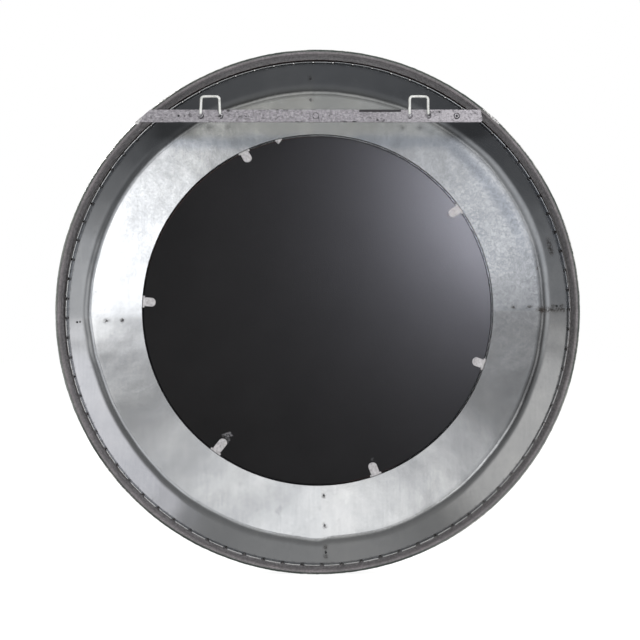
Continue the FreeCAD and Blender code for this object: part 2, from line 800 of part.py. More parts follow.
def main():
    fill_sheet()
    s = Sizes
    make_hoop()
    make_edge_wire()
    for name, quarter in FACE_SHEETS:
        make_face_sheet(name, quarter)
    make_seam_spots()
    make_flange_spots()
    make_bar()
    for side, middle in (("left", s.loop_left_x), ("right", s.loop_right_x)):
        make_loop("hanging_loop_" + side, middle)
        make_loop_welds("loop_welds_" + side, middle)
    make_bar_weld("bar_weld_left", 1.0)
    make_bar_weld("bar_weld_right", -1.0)
    make_board()
    make_cushion()
    make_glass()
    make_bezel()
    for name, turn, length in TABS:
        make_tab(name, turn, length)
    make_tab("retainer_stub", STUB_TURN, s.stub_length, broken=True)
    doc.recompute()
    check_and_write()


main()
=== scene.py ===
import math
import random

import bpy
import bmesh
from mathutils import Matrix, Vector, noise


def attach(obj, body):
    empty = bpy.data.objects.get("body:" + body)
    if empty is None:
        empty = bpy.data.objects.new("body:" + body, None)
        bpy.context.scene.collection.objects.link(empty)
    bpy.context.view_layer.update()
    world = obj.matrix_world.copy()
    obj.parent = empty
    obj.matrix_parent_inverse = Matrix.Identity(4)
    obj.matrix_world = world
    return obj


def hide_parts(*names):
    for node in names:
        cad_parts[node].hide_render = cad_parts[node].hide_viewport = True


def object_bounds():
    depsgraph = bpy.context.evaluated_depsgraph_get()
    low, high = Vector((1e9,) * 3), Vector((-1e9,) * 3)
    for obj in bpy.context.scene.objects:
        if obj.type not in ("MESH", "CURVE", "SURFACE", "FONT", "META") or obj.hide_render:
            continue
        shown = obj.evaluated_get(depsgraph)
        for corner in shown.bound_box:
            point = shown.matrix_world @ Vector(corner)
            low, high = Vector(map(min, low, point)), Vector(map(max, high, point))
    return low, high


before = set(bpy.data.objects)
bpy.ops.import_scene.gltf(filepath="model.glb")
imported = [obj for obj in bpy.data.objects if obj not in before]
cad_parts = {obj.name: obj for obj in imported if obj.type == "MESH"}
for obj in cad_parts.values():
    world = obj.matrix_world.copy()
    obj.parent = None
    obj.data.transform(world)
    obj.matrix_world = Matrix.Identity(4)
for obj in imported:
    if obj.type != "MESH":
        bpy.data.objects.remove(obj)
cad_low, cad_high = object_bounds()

# Sizes are in millimetres and turned into metres when a mesh is made. Lamps and camera are in metres.
# Angles are as seen from behind: 0 is the viewer's right (-X), 90 is up, and they grow anticlockwise.
# A depth is measured forwards from the wall plane, so depth d is y = -d.

HOOP_Z = -340.5
DISH_Z = -343.8
OPENING_Z = -337.1
FIRST_SEAM = 1.0

SHEET_GAUGE = 0.9
FACE_DEPTH = 75.0
BEND_START = 398.0
BEND_RADIUS = 33.0
CREASE = math.radians(7.0)
SLOPE = math.radians(40.0)
ROOT_RADIUS = 6.0
FLANGE_RADIUS = 443.0
FLANGE_FREE_DEPTH = 31.0
LEAVES_PER_SHEET = 20
NOTCH_WIDTH = 2.4
NOTCH_DEPTH = 9.0
OPENING_RADIUS = 315.5

BOARD_DEPTH = 76.0
BOARD_RADIUS = 313.0
BOARD_X = 0.7
BOARD_Z = -337.8


# ---------------- meshes

def polar(angle, radius, depth, centre_z):
    """A point in metres from its angle in degrees, radius and depth in millimetres."""
    a = math.radians(angle)
    return Vector((-radius * math.cos(a), -depth, centre_z + radius * math.sin(a))) / 1000


def arc(centre_r, centre_d, radius, start, end, steps):
    """Points of an arc in a (radius, depth) section, angles in degrees from +radius towards +depth."""
    points = []
    for i in range(steps + 1):
        t = math.radians(start + (end - start) * i / steps)
        points.append((centre_r + radius * math.cos(t), centre_d + radius * math.sin(t)))
    return points


def rough(x, y, z=0.0, seed=0.0):
    """Smooth noise between about -1 and 1."""
    return noise.noise(Vector((x + seed * 17.3, y - seed * 5.1, z + seed * 3.7)))


def spread(value, low, high, soft):
    """1 between low and high, fading out over soft on each side."""
    away = max(low - value, value - high, 0.0)
    return math.exp(-(away / soft) ** 2)


def around(co, centre_z, centre_x=0.0):
    """Radius in millimetres and angle in degrees of a point about an axis."""
    x, z = centre_x - co.x, co.z - centre_z
    return math.hypot(x, z), math.degrees(math.atan2(z, x)) % 360


def turned(x, z, degrees):
    """A point as distances along and across a direction."""
    a = math.radians(degrees)
    return x * math.cos(a) + z * math.sin(a), -x * math.sin(a) + z * math.cos(a)


def ring_rough(angle, scale, seed):
    """Noise that runs round a circle without a join."""
    a = math.radians(angle)
    return rough(math.cos(a) * scale, math.sin(a) * scale, 0.0, seed)


def make_piece(name, verts, faces, material, replaces, sharp, mark=None, tone_and_painted_light=None):
    """A closed smooth-shaded mesh that rides on the root and stands for its CAD nodes."""
    mesh = bpy.data.meshes.new(name)
    mesh.from_pydata([tuple(v) for v in verts], [], faces)
    bm = bmesh.new()
    bm.from_mesh(mesh)
    bmesh.ops.remove_doubles(bm, verts=bm.verts, dist=1e-6)
    bmesh.ops.recalc_face_normals(bm, faces=bm.faces)
    for face in bm.faces:
        face.smooth = True
    bm.to_mesh(mesh)
    bm.free()
    mesh.set_sharp_from_angle(angle=math.radians(sharp))
    if mark:
        layer = mesh.attributes.new("mark", "FLOAT", "POINT")
        for vertex in mesh.vertices:
            layer.data[vertex.index].value = mark(vertex.co * 1000)
    # The tone layer multiplies the colour per point; it carries painted light, shade and highlight.
    if tone_and_painted_light:
        layer = mesh.attributes.new("tone_and_painted_light", "FLOAT_COLOR", "POINT")
        for vertex in mesh.vertices:
            layer.data[vertex.index].color = tone_and_painted_light(vertex.co * 1000)
    mesh.materials.append(material)
    piece = bpy.data.objects.new(name, mesh)
    bpy.context.scene.collection.objects.link(piece)
    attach(piece, "root")
    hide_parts(*replaces)
    return piece


def grid_faces(rows, columns, close_rows=False, close_columns=False, skip=None, start=0):
    """Quads of a rows by columns grid of vertices, stored row after row."""
    faces = []
    for i in range(rows if close_rows else rows - 1):
        for j in range(columns if close_columns else columns - 1):
            if skip and skip(i, j):
                continue
            a = start + i * columns + j
            b = start + i * columns + (j + 1) % columns
            c = start + ((i + 1) % rows) * columns + (j + 1) % columns
            d = start + ((i + 1) % rows) * columns + j
            faces.append((a, b, c, d))
    return faces


def turn_section(section, steps, centre_z, shift_x, change):
    """The corners of a (radius, depth) section at each step of a full turn."""
    verts = []
    for i in range(steps):
        angle = 360.0 * i / steps
        for radius, depth in section:
            if change:
                radius, depth = change(angle, radius, depth)
            verts.append(polar(angle, radius, depth, centre_z) + Vector((shift_x / 1000, 0, 0)))
    return verts


def revolve(section, steps, centre_z, change=None):
    """Turns a closed section of (radius, depth) corners about the axis at centre_z."""
    verts = turn_section(section, steps, centre_z, 0.0, change)
    return verts, grid_faces(steps, len(section), close_rows=True, close_columns=True)


def disc(section, steps, centre_z, shift_x=0.0, change=None):
    """Turns an open section whose first and last corners lie on the axis."""
    inner = section[1:-1]
    verts = turn_section(inner, steps, centre_z, shift_x, change)
    faces = grid_faces(steps, len(inner), close_rows=True)
    for pole, column in ((section[0], 0), (section[-1], len(inner) - 1)):
        tip = len(verts)
        verts.append(polar(0, 0, pole[1], centre_z) + Vector((shift_x / 1000, 0, 0)))
        for i in range(steps):
            faces.append((tip, i * len(inner) + column, ((i + 1) % steps) * len(inner) + column))
    return verts, faces


# ---------------- material helpers

class Nodes:
    """The node tree of a material or world, with short calls for the nodes used here."""

    def __init__(self, name, world=False):
        self.block = (bpy.data.worlds if world else bpy.data.materials).new(name)
        self.block.use_nodes = True
        self.tree = self.block.node_tree
        if world:
            self.tree.nodes.clear()
            self.coords = self.add("ShaderNodeTexCoord").outputs["Generated"]
        else:
            self.shader = self.tree.nodes["Principled BSDF"]
            self.coords = self.add("ShaderNodeTexCoord").outputs["Object"]

    def add(self, kind, inputs=None, **settings):
        node = self.tree.nodes.new(kind)
        for key, value in settings.items():
            setattr(node, key, value)
        for key, value in (inputs or {}).items():
            if isinstance(value, bpy.types.NodeSocket):
                self.tree.links.new(value, node.inputs[key])
            else:
                node.inputs[key].default_value = value
        return node

    def stretch(self, x, y, z, turn=0.0):
        inputs = {"Vector": self.coords, "Scale": (x, y, z), "Rotation": (0, math.radians(turn), 0)}
        return self.add("ShaderNodeMapping", inputs).outputs[0]

    def noise(self, scale, detail=3.0, roughness=0.5, distortion=0.0, vector=None):
        inputs = {"Vector": vector or self.coords, "Scale": scale, "Detail": detail, "Roughness": roughness,
                  "Distortion": distortion}
        return self.add("ShaderNodeTexNoise", inputs).outputs["Fac"]

    def cells(self, scale, vector=None, output="Color"):
        node = self.add("ShaderNodeTexVoronoi", {"Vector": vector or self.coords, "Scale": scale})
        if output == "Color":
            return self.add("ShaderNodeSeparateColor", {"Color": node.outputs["Color"]}).outputs[0]
        return node.outputs[output]

    def math(self, operation, a, b=0.0, clamp=False):
        return self.add("ShaderNodeMath", {0: a, 1: b}, operation=operation, use_clamp=clamp).outputs[0]

    def mul(self, a, b, clamp=False):
        return self.math("MULTIPLY", a, b, clamp)

    def plus(self, first, *more, clamp=False):
        for i, value in enumerate(more):
            first = self.math("ADD", first, value, clamp and i == len(more) - 1)
        return first

    def minus(self, a, b):
        return self.math("SUBTRACT", a, b)

    def step(self, value, low, high, out_low=0.0, out_high=1.0):
        inputs = {"Value": value, "From Min": low, "From Max": high, "To Min": out_low, "To Max": out_high}
        return self.add("ShaderNodeMapRange", inputs, interpolation_type="SMOOTHSTEP").outputs[0]

    def ramp(self, value, stops):
        node = self.add("ShaderNodeValToRGB", {"Fac": value})
        elements = node.color_ramp.elements
        while len(elements) < len(stops):
            elements.new(0.5)
        for element, (place, colour) in zip(elements, stops):
            element.position = place
            element.color = (*colour, 1.0)
        return node.outputs["Color"]

    def blend(self, factor, a, b, mode="MIX"):
        inputs = {0: factor}
        for key, value in ((6, a), (7, b)):
            inputs[key] = value if isinstance(value, bpy.types.NodeSocket) else (*value, 1.0)
        return self.add("ShaderNodeMix", inputs, data_type="RGBA", blend_type=mode).outputs[2]

    def mark(self):
        return self.add("ShaderNodeAttribute", attribute_name="mark").outputs["Fac"]

    def bump(self, height, distance, strength):
        inputs = {"Height": height, "Distance": distance, "Strength": strength}
        return self.add("ShaderNodeBump", inputs).outputs[0]

    def finish(self, **inputs):
        names = {"colour": "Base Color", "roughness": "Roughness", "metallic": "Metallic", "normal": "Normal",
                 "specular": "Specular IOR Level"}
        for key, value in inputs.items():
            socket = self.shader.inputs[names[key]]
            if isinstance(value, bpy.types.NodeSocket):
                self.tree.links.new(value, socket)
            else:
                socket.default_value = value
        return self.block


# ---------------- materials

def galvanised(name, turn, tint=(1.0, 1.0, 1.0), shine=0.0, tone_and_painted_light=True):
    """Zinc-coated sheet: fine spangle, rolling streaks, smudges, stains and painted shade where the mark layer asks,
    and painted light and shade from its tone layer when it has one.
    """
    n = Nodes(name)
    wobble = n.add("ShaderNodeTexNoise", {"Vector": n.coords, "Scale": 260.0, "Detail": 2.0})
    scaled = n.add("ShaderNodeVectorMath", {0: wobble.outputs["Color"], "Scale": 0.004}, operation="SCALE")
    vector = n.add("ShaderNodeVectorMath", {0: n.coords, 1: scaled.outputs[0]}, operation="ADD").outputs[0]
    coarse = n.cells(190.0, vector)
    fine = n.cells(430.0, vector)
    cloud = n.noise(11.0, 4.0, 0.55)
    streak = n.noise(1.0, 4.0, 0.6, vector=n.stretch(260.0, 60.0, 14.0, turn))
    spangle = n.plus(n.mul(coarse, 0.55), n.mul(fine, 0.45))
    layer = n.add("ShaderNodeAttribute", attribute_name="tone_and_painted_light") if tone_and_painted_light else None
    showing = n.mul(n.minus(spangle, 0.5), layer.outputs["Alpha"] if tone_and_painted_light else 0.35)
    mixed = n.plus(n.mul(cloud, 0.78), n.mul(streak, 0.22), showing)
    greys = ((0.2, (0.56, 0.575, 0.60)), (0.5, (0.66, 0.672, 0.69)), (0.85, (0.78, 0.785, 0.79)))
    colour = n.ramp(mixed, [(at, tuple(c * t for c, t in zip(grey, tint))) for at, grey in greys])
    if tone_and_painted_light:
        colour = n.blend(1.0, colour, layer.outputs["Color"], "MULTIPLY")
    smudge = n.step(n.noise(38.0, 5.0, 0.65), 0.60, 0.74)
    colour = n.blend(n.mul(smudge, 0.07), colour, (0.40, 0.41, 0.43))
    mark = n.mark()
    # Marks above 0 give dark specks: real stains, and painted shade in the notches and in the bezel's gap.
    speck = n.step(n.noise(420.0, 3.0, 0.7), 0.36, 0.56)
    stain_and_shade = n.mul(n.step(mark, 0.0, 1.0), speck, clamp=True)
    colour = n.blend(stain_and_shade, colour, (0.075, 0.06, 0.05))
    # Chalky oxide on the flange; its amount round the dish is partly painted light.
    oxide_and_painted_light = n.step(mark, -0.2, -1.0)
    chalk = n.ramp(n.noise(120.0, 3.0, 0.6), [(0.3, (0.62, 0.63, 0.62)), (0.7, (0.82, 0.82, 0.81))])
    colour = n.blend(oxide_and_painted_light, colour, chalk)
    roughness = n.step(mixed, 0.2, 0.8, 0.21 - shine, 0.17 - shine)
    roughness = n.plus(roughness, n.mul(oxide_and_painted_light, 0.35), n.mul(smudge, 0.05), n.mul(stain_and_shade, 0.3), clamp=True)
    height = n.plus(n.mul(n.noise(150.0), 0.5), n.mul(showing, 1.1), n.mul(n.noise(700.0), 0.12))
    normal = n.bump(height, 0.00016, 0.5)
    metallic = n.minus(1.0, n.mul(oxide_and_painted_light, 0.85))
    return n.finish(colour=colour, roughness=roughness, metallic=metallic, normal=normal)


def gunmetal():
    """Dark washed rim: hatched across the hoop by its rolling, hammered, worn bright in patches, with worn metal and
    painted highlight on the bead's outer edge and painted shadow at the front of its wall.
    """
    n = Nodes("rim_gunmetal")
    cloud = n.noise(22.0, 5.0, 0.65)
    grain = n.noise(260.0, 4.0, 0.7)
    hatch = n.noise(1.0, 3.0, 0.6, vector=n.stretch(300.0, 60.0, 300.0))
    worn = n.step(n.noise(95.0, 5.0, 0.75, 0.6), 0.60, 0.72)
    greys = [(0.3, (0.120, 0.128, 0.120)), (0.55, (0.175, 0.180, 0.172)), (0.75, (0.24, 0.24, 0.235))]
    colour = n.ramp(cloud, greys)
    colour = n.blend(n.step(hatch, 0.40, 0.62, 0.0, 0.45), colour, (0.085, 0.090, 0.088))
    colour = n.blend(n.mul(grain, 0.25), colour, (0.09, 0.095, 0.09))
    tone = n.add("ShaderNodeAttribute", attribute_name="tone_and_painted_light").outputs["Color"]
    colour = n.blend(1.0, colour, tone, "MULTIPLY")
    layer = n.mark()
    # Edge: worn metal and painted highlight along the bead's outer edge.
    edge = n.mul(n.step(layer, 0.0, 1.0), n.step(n.noise(150.0, 5.0, 0.8), 0.40, 0.56))
    # Painted shadow: near-black on the front part of the hoop's wall, in the gap by the flange.
    painted_gap_shadow = n.step(layer, 1.2, 1.9)
    wall = n.step(layer, -0.2, -1.0)
    colour = n.blend(n.mul(worn, 0.30), colour, (0.34, 0.34, 0.33))
    hatched = n.blend(n.step(hatch, 0.35, 0.65), (0.36, 0.345, 0.355), (0.20, 0.19, 0.195))
    colour = n.blend(n.mul(wall, 0.8), colour, hatched)
    colour = n.blend(n.mul(edge, 0.85), colour, (0.80, 0.77, 0.74))
    colour = n.blend(painted_gap_shadow, colour, (0.018, 0.010, 0.010))
    roughness = n.plus(n.step(cloud, 0.3, 0.75, 0.42, 0.32), n.mul(wall, 0.25))
    height = n.plus(n.mul(n.noise(180.0, 3.0), 0.7), n.mul(hatch, 0.5))
    return n.finish(colour=colour, roughness=roughness, metallic=0.5, normal=n.bump(height, 0.0004, 0.55))


def bar_paint():
    """Thin silver-grey paint over dark steel, scraped along the bar and worn off at its edges, with painted shadow
    round the loop feet.
    """
    n = Nodes("bar_paint")
    brushed = n.noise(1.0, 5.0, 0.7, vector=n.stretch(190.0, 300.0, 300.0))
    blotch = n.noise(120.0, 5.0, 0.7)
    colour = n.ramp(brushed, [(0.3, (0.20, 0.185, 0.20)), (0.5, (0.34, 0.325, 0.35)), (0.68, (0.52, 0.50, 0.53))])
    whiter = n.step(n.add("ShaderNodeSeparateXYZ", {0: n.coords}).outputs["X"], -0.10, -0.24, 0.0, 0.75)
    colour = n.blend(n.mul(whiter, n.step(blotch, 0.42, 0.55)), colour, (0.66, 0.63, 0.67))
    colour = n.blend(n.step(blotch, 0.50, 0.62, 0.0, 0.45), colour, (0.13, 0.125, 0.135))
    scrape = n.noise(1.0, 6.0, 0.75, 1.2, n.stretch(85.0, 200.0, 190.0))
    patch = n.step(n.noise(13.0, 4.0, 0.6), 0.40, 0.56)
    worn = n.mul(n.step(scrape, 0.56, 0.66, 0.0, 0.8), patch)
    fleck = n.step(n.noise(300.0, 4.0, 0.75), 0.60, 0.66)
    worn = n.math("MAXIMUM", worn, n.mul(fleck, 0.75))
    # The mark layer brings in bare steel and the painted shadow round the loop feet.
    ragged = n.plus(n.mark(), n.mul(n.minus(blotch, 0.5), 1.6))
    worn = n.math("MAXIMUM", worn, n.step(ragged, 0.45, 0.75), clamp=True)
    colour = n.blend(worn, colour, (0.045, 0.043, 0.047))
    roughness = n.step(brushed, 0.3, 0.7, 0.50, 0.40)
    height = n.minus(n.mul(brushed, 0.5), n.mul(worn, 0.8))
    height = n.plus(height, n.mul(n.noise(240.0, 4.0), 0.5))
    return n.finish(colour=colour, roughness=roughness, metallic=0.45, normal=n.bump(height, 0.0003, 0.6))


def zinc_wire():
    """Bright zinc with drawing marks."""
    n = Nodes("zinc_wire")
    drawn = n.noise(500.0, 4.0, 0.6)
    cloud = n.noise(90.0, 4.0, 0.6)
    colour = n.ramp(cloud, [(0.3, (0.62, 0.63, 0.60)), (0.5, (0.84, 0.85, 0.82)), (0.7, (0.95, 0.95, 0.93))])
    colour = n.blend(n.step(drawn, 0.58, 0.70, 0.0, 0.5), colour, (0.25, 0.25, 0.25))
    roughness = n.step(cloud, 0.3, 0.7, 0.40, 0.28)
    return n.finish(colour=colour, roughness=roughness, metallic=0.45, normal=n.bump(drawn, 0.0002, 0.4))


def weld_bead(name, light):
    """Lumpy weld metal: bright where it's been ground or run, dark with scale elsewhere; on the light welds the
    near-white is partly painted highlight.
    """
    n = Nodes(name)
    lump = n.noise(420.0, 5.0, 0.7)
    scale = n.noise(900.0, 4.0, 0.7)
    dark = (0.08, 0.08, 0.085)
    bright = (0.94, 0.93, 0.92) if light else (0.34, 0.34, 0.345)
    colour = n.ramp(lump, [(0.36 if light else 0.45, dark), (0.50, tuple(c * 0.7 for c in bright)), (0.62, bright)])
    roughness = n.step(scale, 0.3, 0.7, 0.55, 0.30)
    height = n.plus(lump, n.mul(scale, 0.4))
    metallic = 0.35 if light else 0.8
    return n.finish(colour=colour, roughness=roughness, metallic=metallic, normal=n.bump(height, 0.0006, 0.7))


def painted_weld():
    """Loop welds under the bar's paint, with dark patches of painted shade for the creases between the lumps."""
    n = Nodes("weld_painted")
    lump = n.noise(330.0, 4.0, 0.7)
    # Painted shade: dark patches that stand for the shade in the creases.
    painted_crease_shade = n.step(n.noise(160.0, 4.0, 0.7, 1.0), 0.52, 0.60)
    colour = n.ramp(lump, [(0.35, (0.24, 0.23, 0.25)), (0.5, (0.46, 0.45, 0.48)), (0.65, (0.66, 0.65, 0.67))])
    colour = n.blend(painted_crease_shade, colour, (0.05, 0.048, 0.052))
    height = n.minus(lump, n.mul(painted_crease_shade, 0.6))
    return n.finish(colour=colour, roughness=0.45, metallic=0.5, normal=n.bump(height, 0.0006, 0.7))


def tongue_metal():
    """Dull zinc, clouded and scratched."""
    n = Nodes("tongue_zinc")
    cloud = n.noise(260.0, 4.0, 0.65)
    scratch = n.noise(1.0, 4.0, 0.7, vector=n.stretch(500.0, 500.0, 120.0, 30.0))
    colour = n.ramp(cloud, [(0.3, (0.42, 0.405, 0.415)), (0.5, (0.58, 0.565, 0.575)), (0.72, (0.74, 0.72, 0.73))])
    colour = n.blend(n.step(scratch, 0.56, 0.68, 0.0, 0.6), colour, (0.20, 0.19, 0.20))
    roughness = n.step(cloud, 0.3, 0.7, 0.50, 0.36)
    return n.finish(colour=colour, roughness=roughness, metallic=0.45, normal=n.bump(cloud, 0.0003, 0.5))


def hardboard():
    """Black-faced board: fine pebble grain, faint streaks and scuffs, raw brown fibre where it's marked."""
    n = Nodes("black_hardboard")
    pebble = n.noise(620.0, 2.0, 0.5)
    weave = n.noise(1.0, 3.0, 0.6, vector=n.stretch(420.0, 100.0, 70.0))
    cloud = n.noise(7.0, 4.0, 0.6)
    colour = n.ramp(cloud, [(0.3, (0.0050, 0.0048, 0.0048)), (0.7, (0.0080, 0.0076, 0.0078))])
    colour = n.blend(n.step(pebble, 0.5, 0.75, 0.0, 0.5), colour, (0.013, 0.0125, 0.0135))
    dust = n.step(n.noise(260.0, 6.0, 0.8), 0.70, 0.80, 0.0, 0.35)
    colour = n.blend(dust, colour, (0.10, 0.10, 0.105))
    mark = n.mark()
    torn = n.mul(n.step(mark, 0.15, 0.95), n.step(n.noise(210.0, 5.0, 0.8), 0.44, 0.54))
    colour = n.blend(torn, colour, (0.15, 0.147, 0.155))
    raw = n.step(mark, -0.2, -0.9)
    brown = n.ramp(n.noise(500.0, 4.0), [(0.35, (0.012, 0.007, 0.006)), (0.7, (0.060, 0.036, 0.032))])
    brown = n.blend(n.step(mark, -1.1, -1.9), (0.003, 0.0027, 0.0027), brown)
    colour = n.blend(raw, colour, brown)
    roughness = n.plus(n.step(pebble, 0.3, 0.7, 0.37, 0.31), n.mul(raw, 0.6), clamp=True)
    height = n.plus(n.mul(pebble, 1.0), n.mul(weave, 0.5))
    normal = n.bump(height, 0.0002, 0.55)
    return n.finish(colour=colour, roughness=roughness, metallic=0.0, specular=0.12, normal=normal)


def foam():
    """Dark foam rubber with open pores."""
    n = Nodes("foam_rubber")
    pores = n.cells(900.0, output="Distance")
    colour = n.ramp(pores, [(0.0, (0.012, 0.012, 0.012)), (0.6, (0.055, 0.055, 0.057))])
    return n.finish(colour=colour, roughness=0.92, metallic=0.0, normal=n.bump(pores, 0.0004, 0.6))


def silvered():
    """Silvered glass front with the faintest green cast, dust and wipe marks."""
    n = Nodes("silvered_glass")
    wipe = n.noise(1.0, 4.0, 0.6, 1.5, n.stretch(9.0, 9.0, 30.0, 25.0))
    dust = n.step(n.noise(700.0, 5.0, 0.8), 0.72, 0.80)
    colour = n.ramp(wipe, [(0.3, (0.84, 0.875, 0.865)), (0.7, (0.90, 0.92, 0.915))])
    colour = n.blend(n.mul(dust, 0.25), colour, (0.60, 0.60, 0.59))
    roughness = n.plus(n.step(wipe, 0.35, 0.75, 0.012, 0.045), n.mul(dust, 0.10))
    return n.finish(colour=colour, roughness=roughness, metallic=1.0)


RIM = gunmetal()
BAR = bar_paint()
WIRE = zinc_wire()
WELD_HIGHLIGHTED = weld_bead("weld_bright_highlight", True)
WELD_DARK = weld_bead("weld_dark", False)
WELD_PAINTED = painted_weld()
TONGUE = tongue_metal()
BOARD = hardboard()
FOAM = foam()
MIRROR = silvered()
BEZEL = galvanised("bezel_galvanised", 40.0, (0.97, 0.98, 0.99), 0.04, tone_and_painted_light=False)


# ---------------- rim hoop

# Middle of the rolled bead, its radius, and the two sides of the hoop's wall.
BEAD_R, BEAD_D, BEAD = 452.2, 7.8, 4.8
WALL_OUT, WALL_IN = 448.6, 447.4


def rim_section():
    """Section of the hoop: a ridged bead, the wall and a short lip turned inwards at the front."""
    points = []
    for r, d in arc(0.0, 0.0, 1.0, 180.0, 498.6, 64):
        turn = math.atan2(d, r)
        size = BEAD - 0.10 + 0.16 * math.cos(9.0 * turn + 0.6) * (1.0 if d < 0.3 else 0.0)
        points.append((BEAD_R + size * r, BEAD_D + size * d))
    points += [(WALL_OUT, depth) for depth in (11.6, 14.0, 20.0, 30.0, 40.0)]
    points += arc(446.6, 50.0, 2.0, 0.0, 90.0, 6)
    points += [(445.6, 52.0)]
    points += arc(444.9, 51.4, 0.6, 90.0, 270.0, 6)
    points += [(445.6, 50.8)]
    points += arc(446.4, 49.8, 1.0, 90.0, 0.0, 4)
    points += [(WALL_IN, depth) for depth in (40.0, 30.0, 20.0, 12.0)]
    return points


def hammer(angle, radius, depth):
    """Small dents and flats along the rolled edge, fading out down the wall."""
    a = math.radians(angle)
    x, y = math.cos(a) * 62.0, math.sin(a) * 62.0
    share = max(0.0, 1.0 - max(0.0, depth - 12.0) / 14.0)
    dent = rough(x, y, depth * 0.11, 1.0) * 0.34 + rough(x * 3.1, y * 3.1, depth * 0.3, 2.0) * 0.16
    wave = rough(x * 0.09, y * 0.09, 0.0, 3.0) * 0.5
    out_r, out_d = radius - BEAD_R, depth - BEAD_D
    length = math.hypot(out_r, out_d) or 1.0
    if share > 0 and length < BEAD + 1.5:
        radius += dent * share * out_r / length - 0.12 * share
        depth += dent * share * out_d / length
    return radius + wave * 0.35, depth


def rim_mark(co):
    """Up to 1 for bright wear and painted highlight on the bead's outer edge, -1 on the wall inside and 2 for painted
    shadow at its front end.
    """
    radius, angle = around(co, HOOP_Z)
    if radius < 448.0 and -co.y > 8.5:
        # Mark 2 is painted shadow on the wall's front part, deep in the gap by the flange.
        return -1.0 if -co.y < 42.0 + 4.0 * (co.z - HOOP_Z) / 447.0 else 2.0
    edge = max(0.0, 1.0 - abs(radius - 456.4) / 2.2) if -co.y < 12 else 0.0
    patch = 0.35 + 1.2 * ring_rough(angle, 9, 5.0)
    # Partly painted highlight: the edge is brighter on the right side and over the listed angles, where the ragged
    # edge catches the light.
    right = math.exp(-(((angle + 180) % 360 - 180) / 38.0) ** 2) * 0.6
    bright = max(spread(angle, 126.0, 139.0, 4.0), spread(angle, 40.0, 49.0, 3.0), spread(angle, 216.0, 231.0, 6.0))
    return min(1.0, max(0.0, edge * (patch + right + 0.7 * bright)))


def rim_tone(co):
    """Colour multiplier round the bead: greenish dark outside, mauve-grey inside, and a painted highlight streak on
    the bead at the left and lower right.
    """
    radius, angle = around(co, HOOP_Z)
    if radius > 448.0 and -co.y > 11.0:
        return 1.0, 1.0, 1.0, 1.0
    inner = spread(radius, 440.0, 452.4, 0.7)
    # Painted highlight: the light streaks where the smooth bead reflects the soft boxes.
    painted_highlight_streak = max(spread(angle, 163.0, 198.0, 7.0), spread(angle, 302.0, 338.0, 7.0))
    painted_highlight_streak *= spread(radius, 454.3, 455.3, 0.8)
    outer = (1.0 - inner) * (1.0 - painted_highlight_streak)
    tone = 1.0 + 0.55 * inner + 1.1 * painted_highlight_streak - 0.48 * outer
    return tone * (1 - 0.08 * outer + 0.03 * inner), tone * (1 - 0.07 * inner + 0.08 * outer), tone, 1.0


verts, faces = revolve(rim_section(), 1440, HOOP_Z, change=hammer)
make_piece("rim_hoop_rolled", verts, faces, RIM, ["rim_hoop"], 40.0, rim_mark, rim_tone)


# ---------------- face sheets

def sheet_section(bend_start):
    """Rear side of a sheet from a small crease out to the flange, as points with their (radius, depth) normals."""
    points = []
    for out, drop, turn in ((0.0, 0.0, 0.0), (0.3, 0.005, 2.0), (0.55, 0.019, 4.5)):
        t = math.radians(turn)
        points.append((bend_start + out, FACE_DEPTH - drop, math.sin(t), math.cos(t)))
    for i in range(13):
        t = CREASE + (SLOPE - CREASE) * i / 12
        out = bend_start + 0.8 + BEND_RADIUS * (math.sin(t) - math.sin(CREASE))
        depth = FACE_DEPTH - 0.045 - BEND_RADIUS * (math.cos(CREASE) - math.cos(t))
        points.append((out, depth, math.sin(t), math.cos(t)))
    root_r = FLANGE_RADIUS - ROOT_RADIUS
    last_r, last_d = points[-1][:2]
    start_r = root_r + ROOT_RADIUS * math.sin(SLOPE)
    start_d = last_d - (start_r - last_r) * math.tan(SLOPE)
    for i in range(1, 8):
        t = i / 8
        points.append((last_r + (start_r - last_r) * t, last_d + (start_d - last_d) * t,
                       math.sin(SLOPE), math.cos(SLOPE)))
    centre_d = start_d - ROOT_RADIUS * math.cos(SLOPE)
    for i in range(9):
        t = SLOPE + (math.pi / 2 - SLOPE) * i / 8
        points.append((root_r + ROOT_RADIUS * math.sin(t), centre_d + ROOT_RADIUS * math.cos(t),
                       math.sin(t), math.cos(t)))
    notch = FLANGE_FREE_DEPTH + NOTCH_DEPTH
    for depth in (notch, notch - 0.2, notch - 3.0, notch - 6.0, FLANGE_FREE_DEPTH):
        points.append((FLANGE_RADIUS, depth, 1.0, 0.0))
    return points


RING_ROWS = 15
STRIP_ROWS = RING_ROWS + 20
CUT_ROWS = 5
LEAF = 90.0 / LEAVES_PER_SHEET


def opening_edge(angle):
    """Distance from the dish axis to the edge of the mirror opening."""
    rise = OPENING_Z - DISH_Z
    a = math.radians(angle)
    return rise * math.sin(a) + math.sqrt(OPENING_RADIUS ** 2 - (rise * math.cos(a)) ** 2)


def sheet_columns(first):
    """Angles of the columns, their leaves and whether a notch follows."""
    half = math.degrees(NOTCH_WIDTH / 2 / FLANGE_RADIUS)
    columns = []
    for leaf in range(LEAVES_PER_SHEET):
        left, right = leaf * LEAF + half, (leaf + 1) * LEAF - half
        if leaf == 0:
            columns.append((0.0, leaf, False))
        columns += [(left + (right - left) * i / 9, leaf, i == 9) for i in range(10)]
    columns.append((LEAVES_PER_SHEET * LEAF, LEAVES_PER_SHEET - 1, False))
    return [(first + at, leaf, notch) for at, leaf, notch in columns]


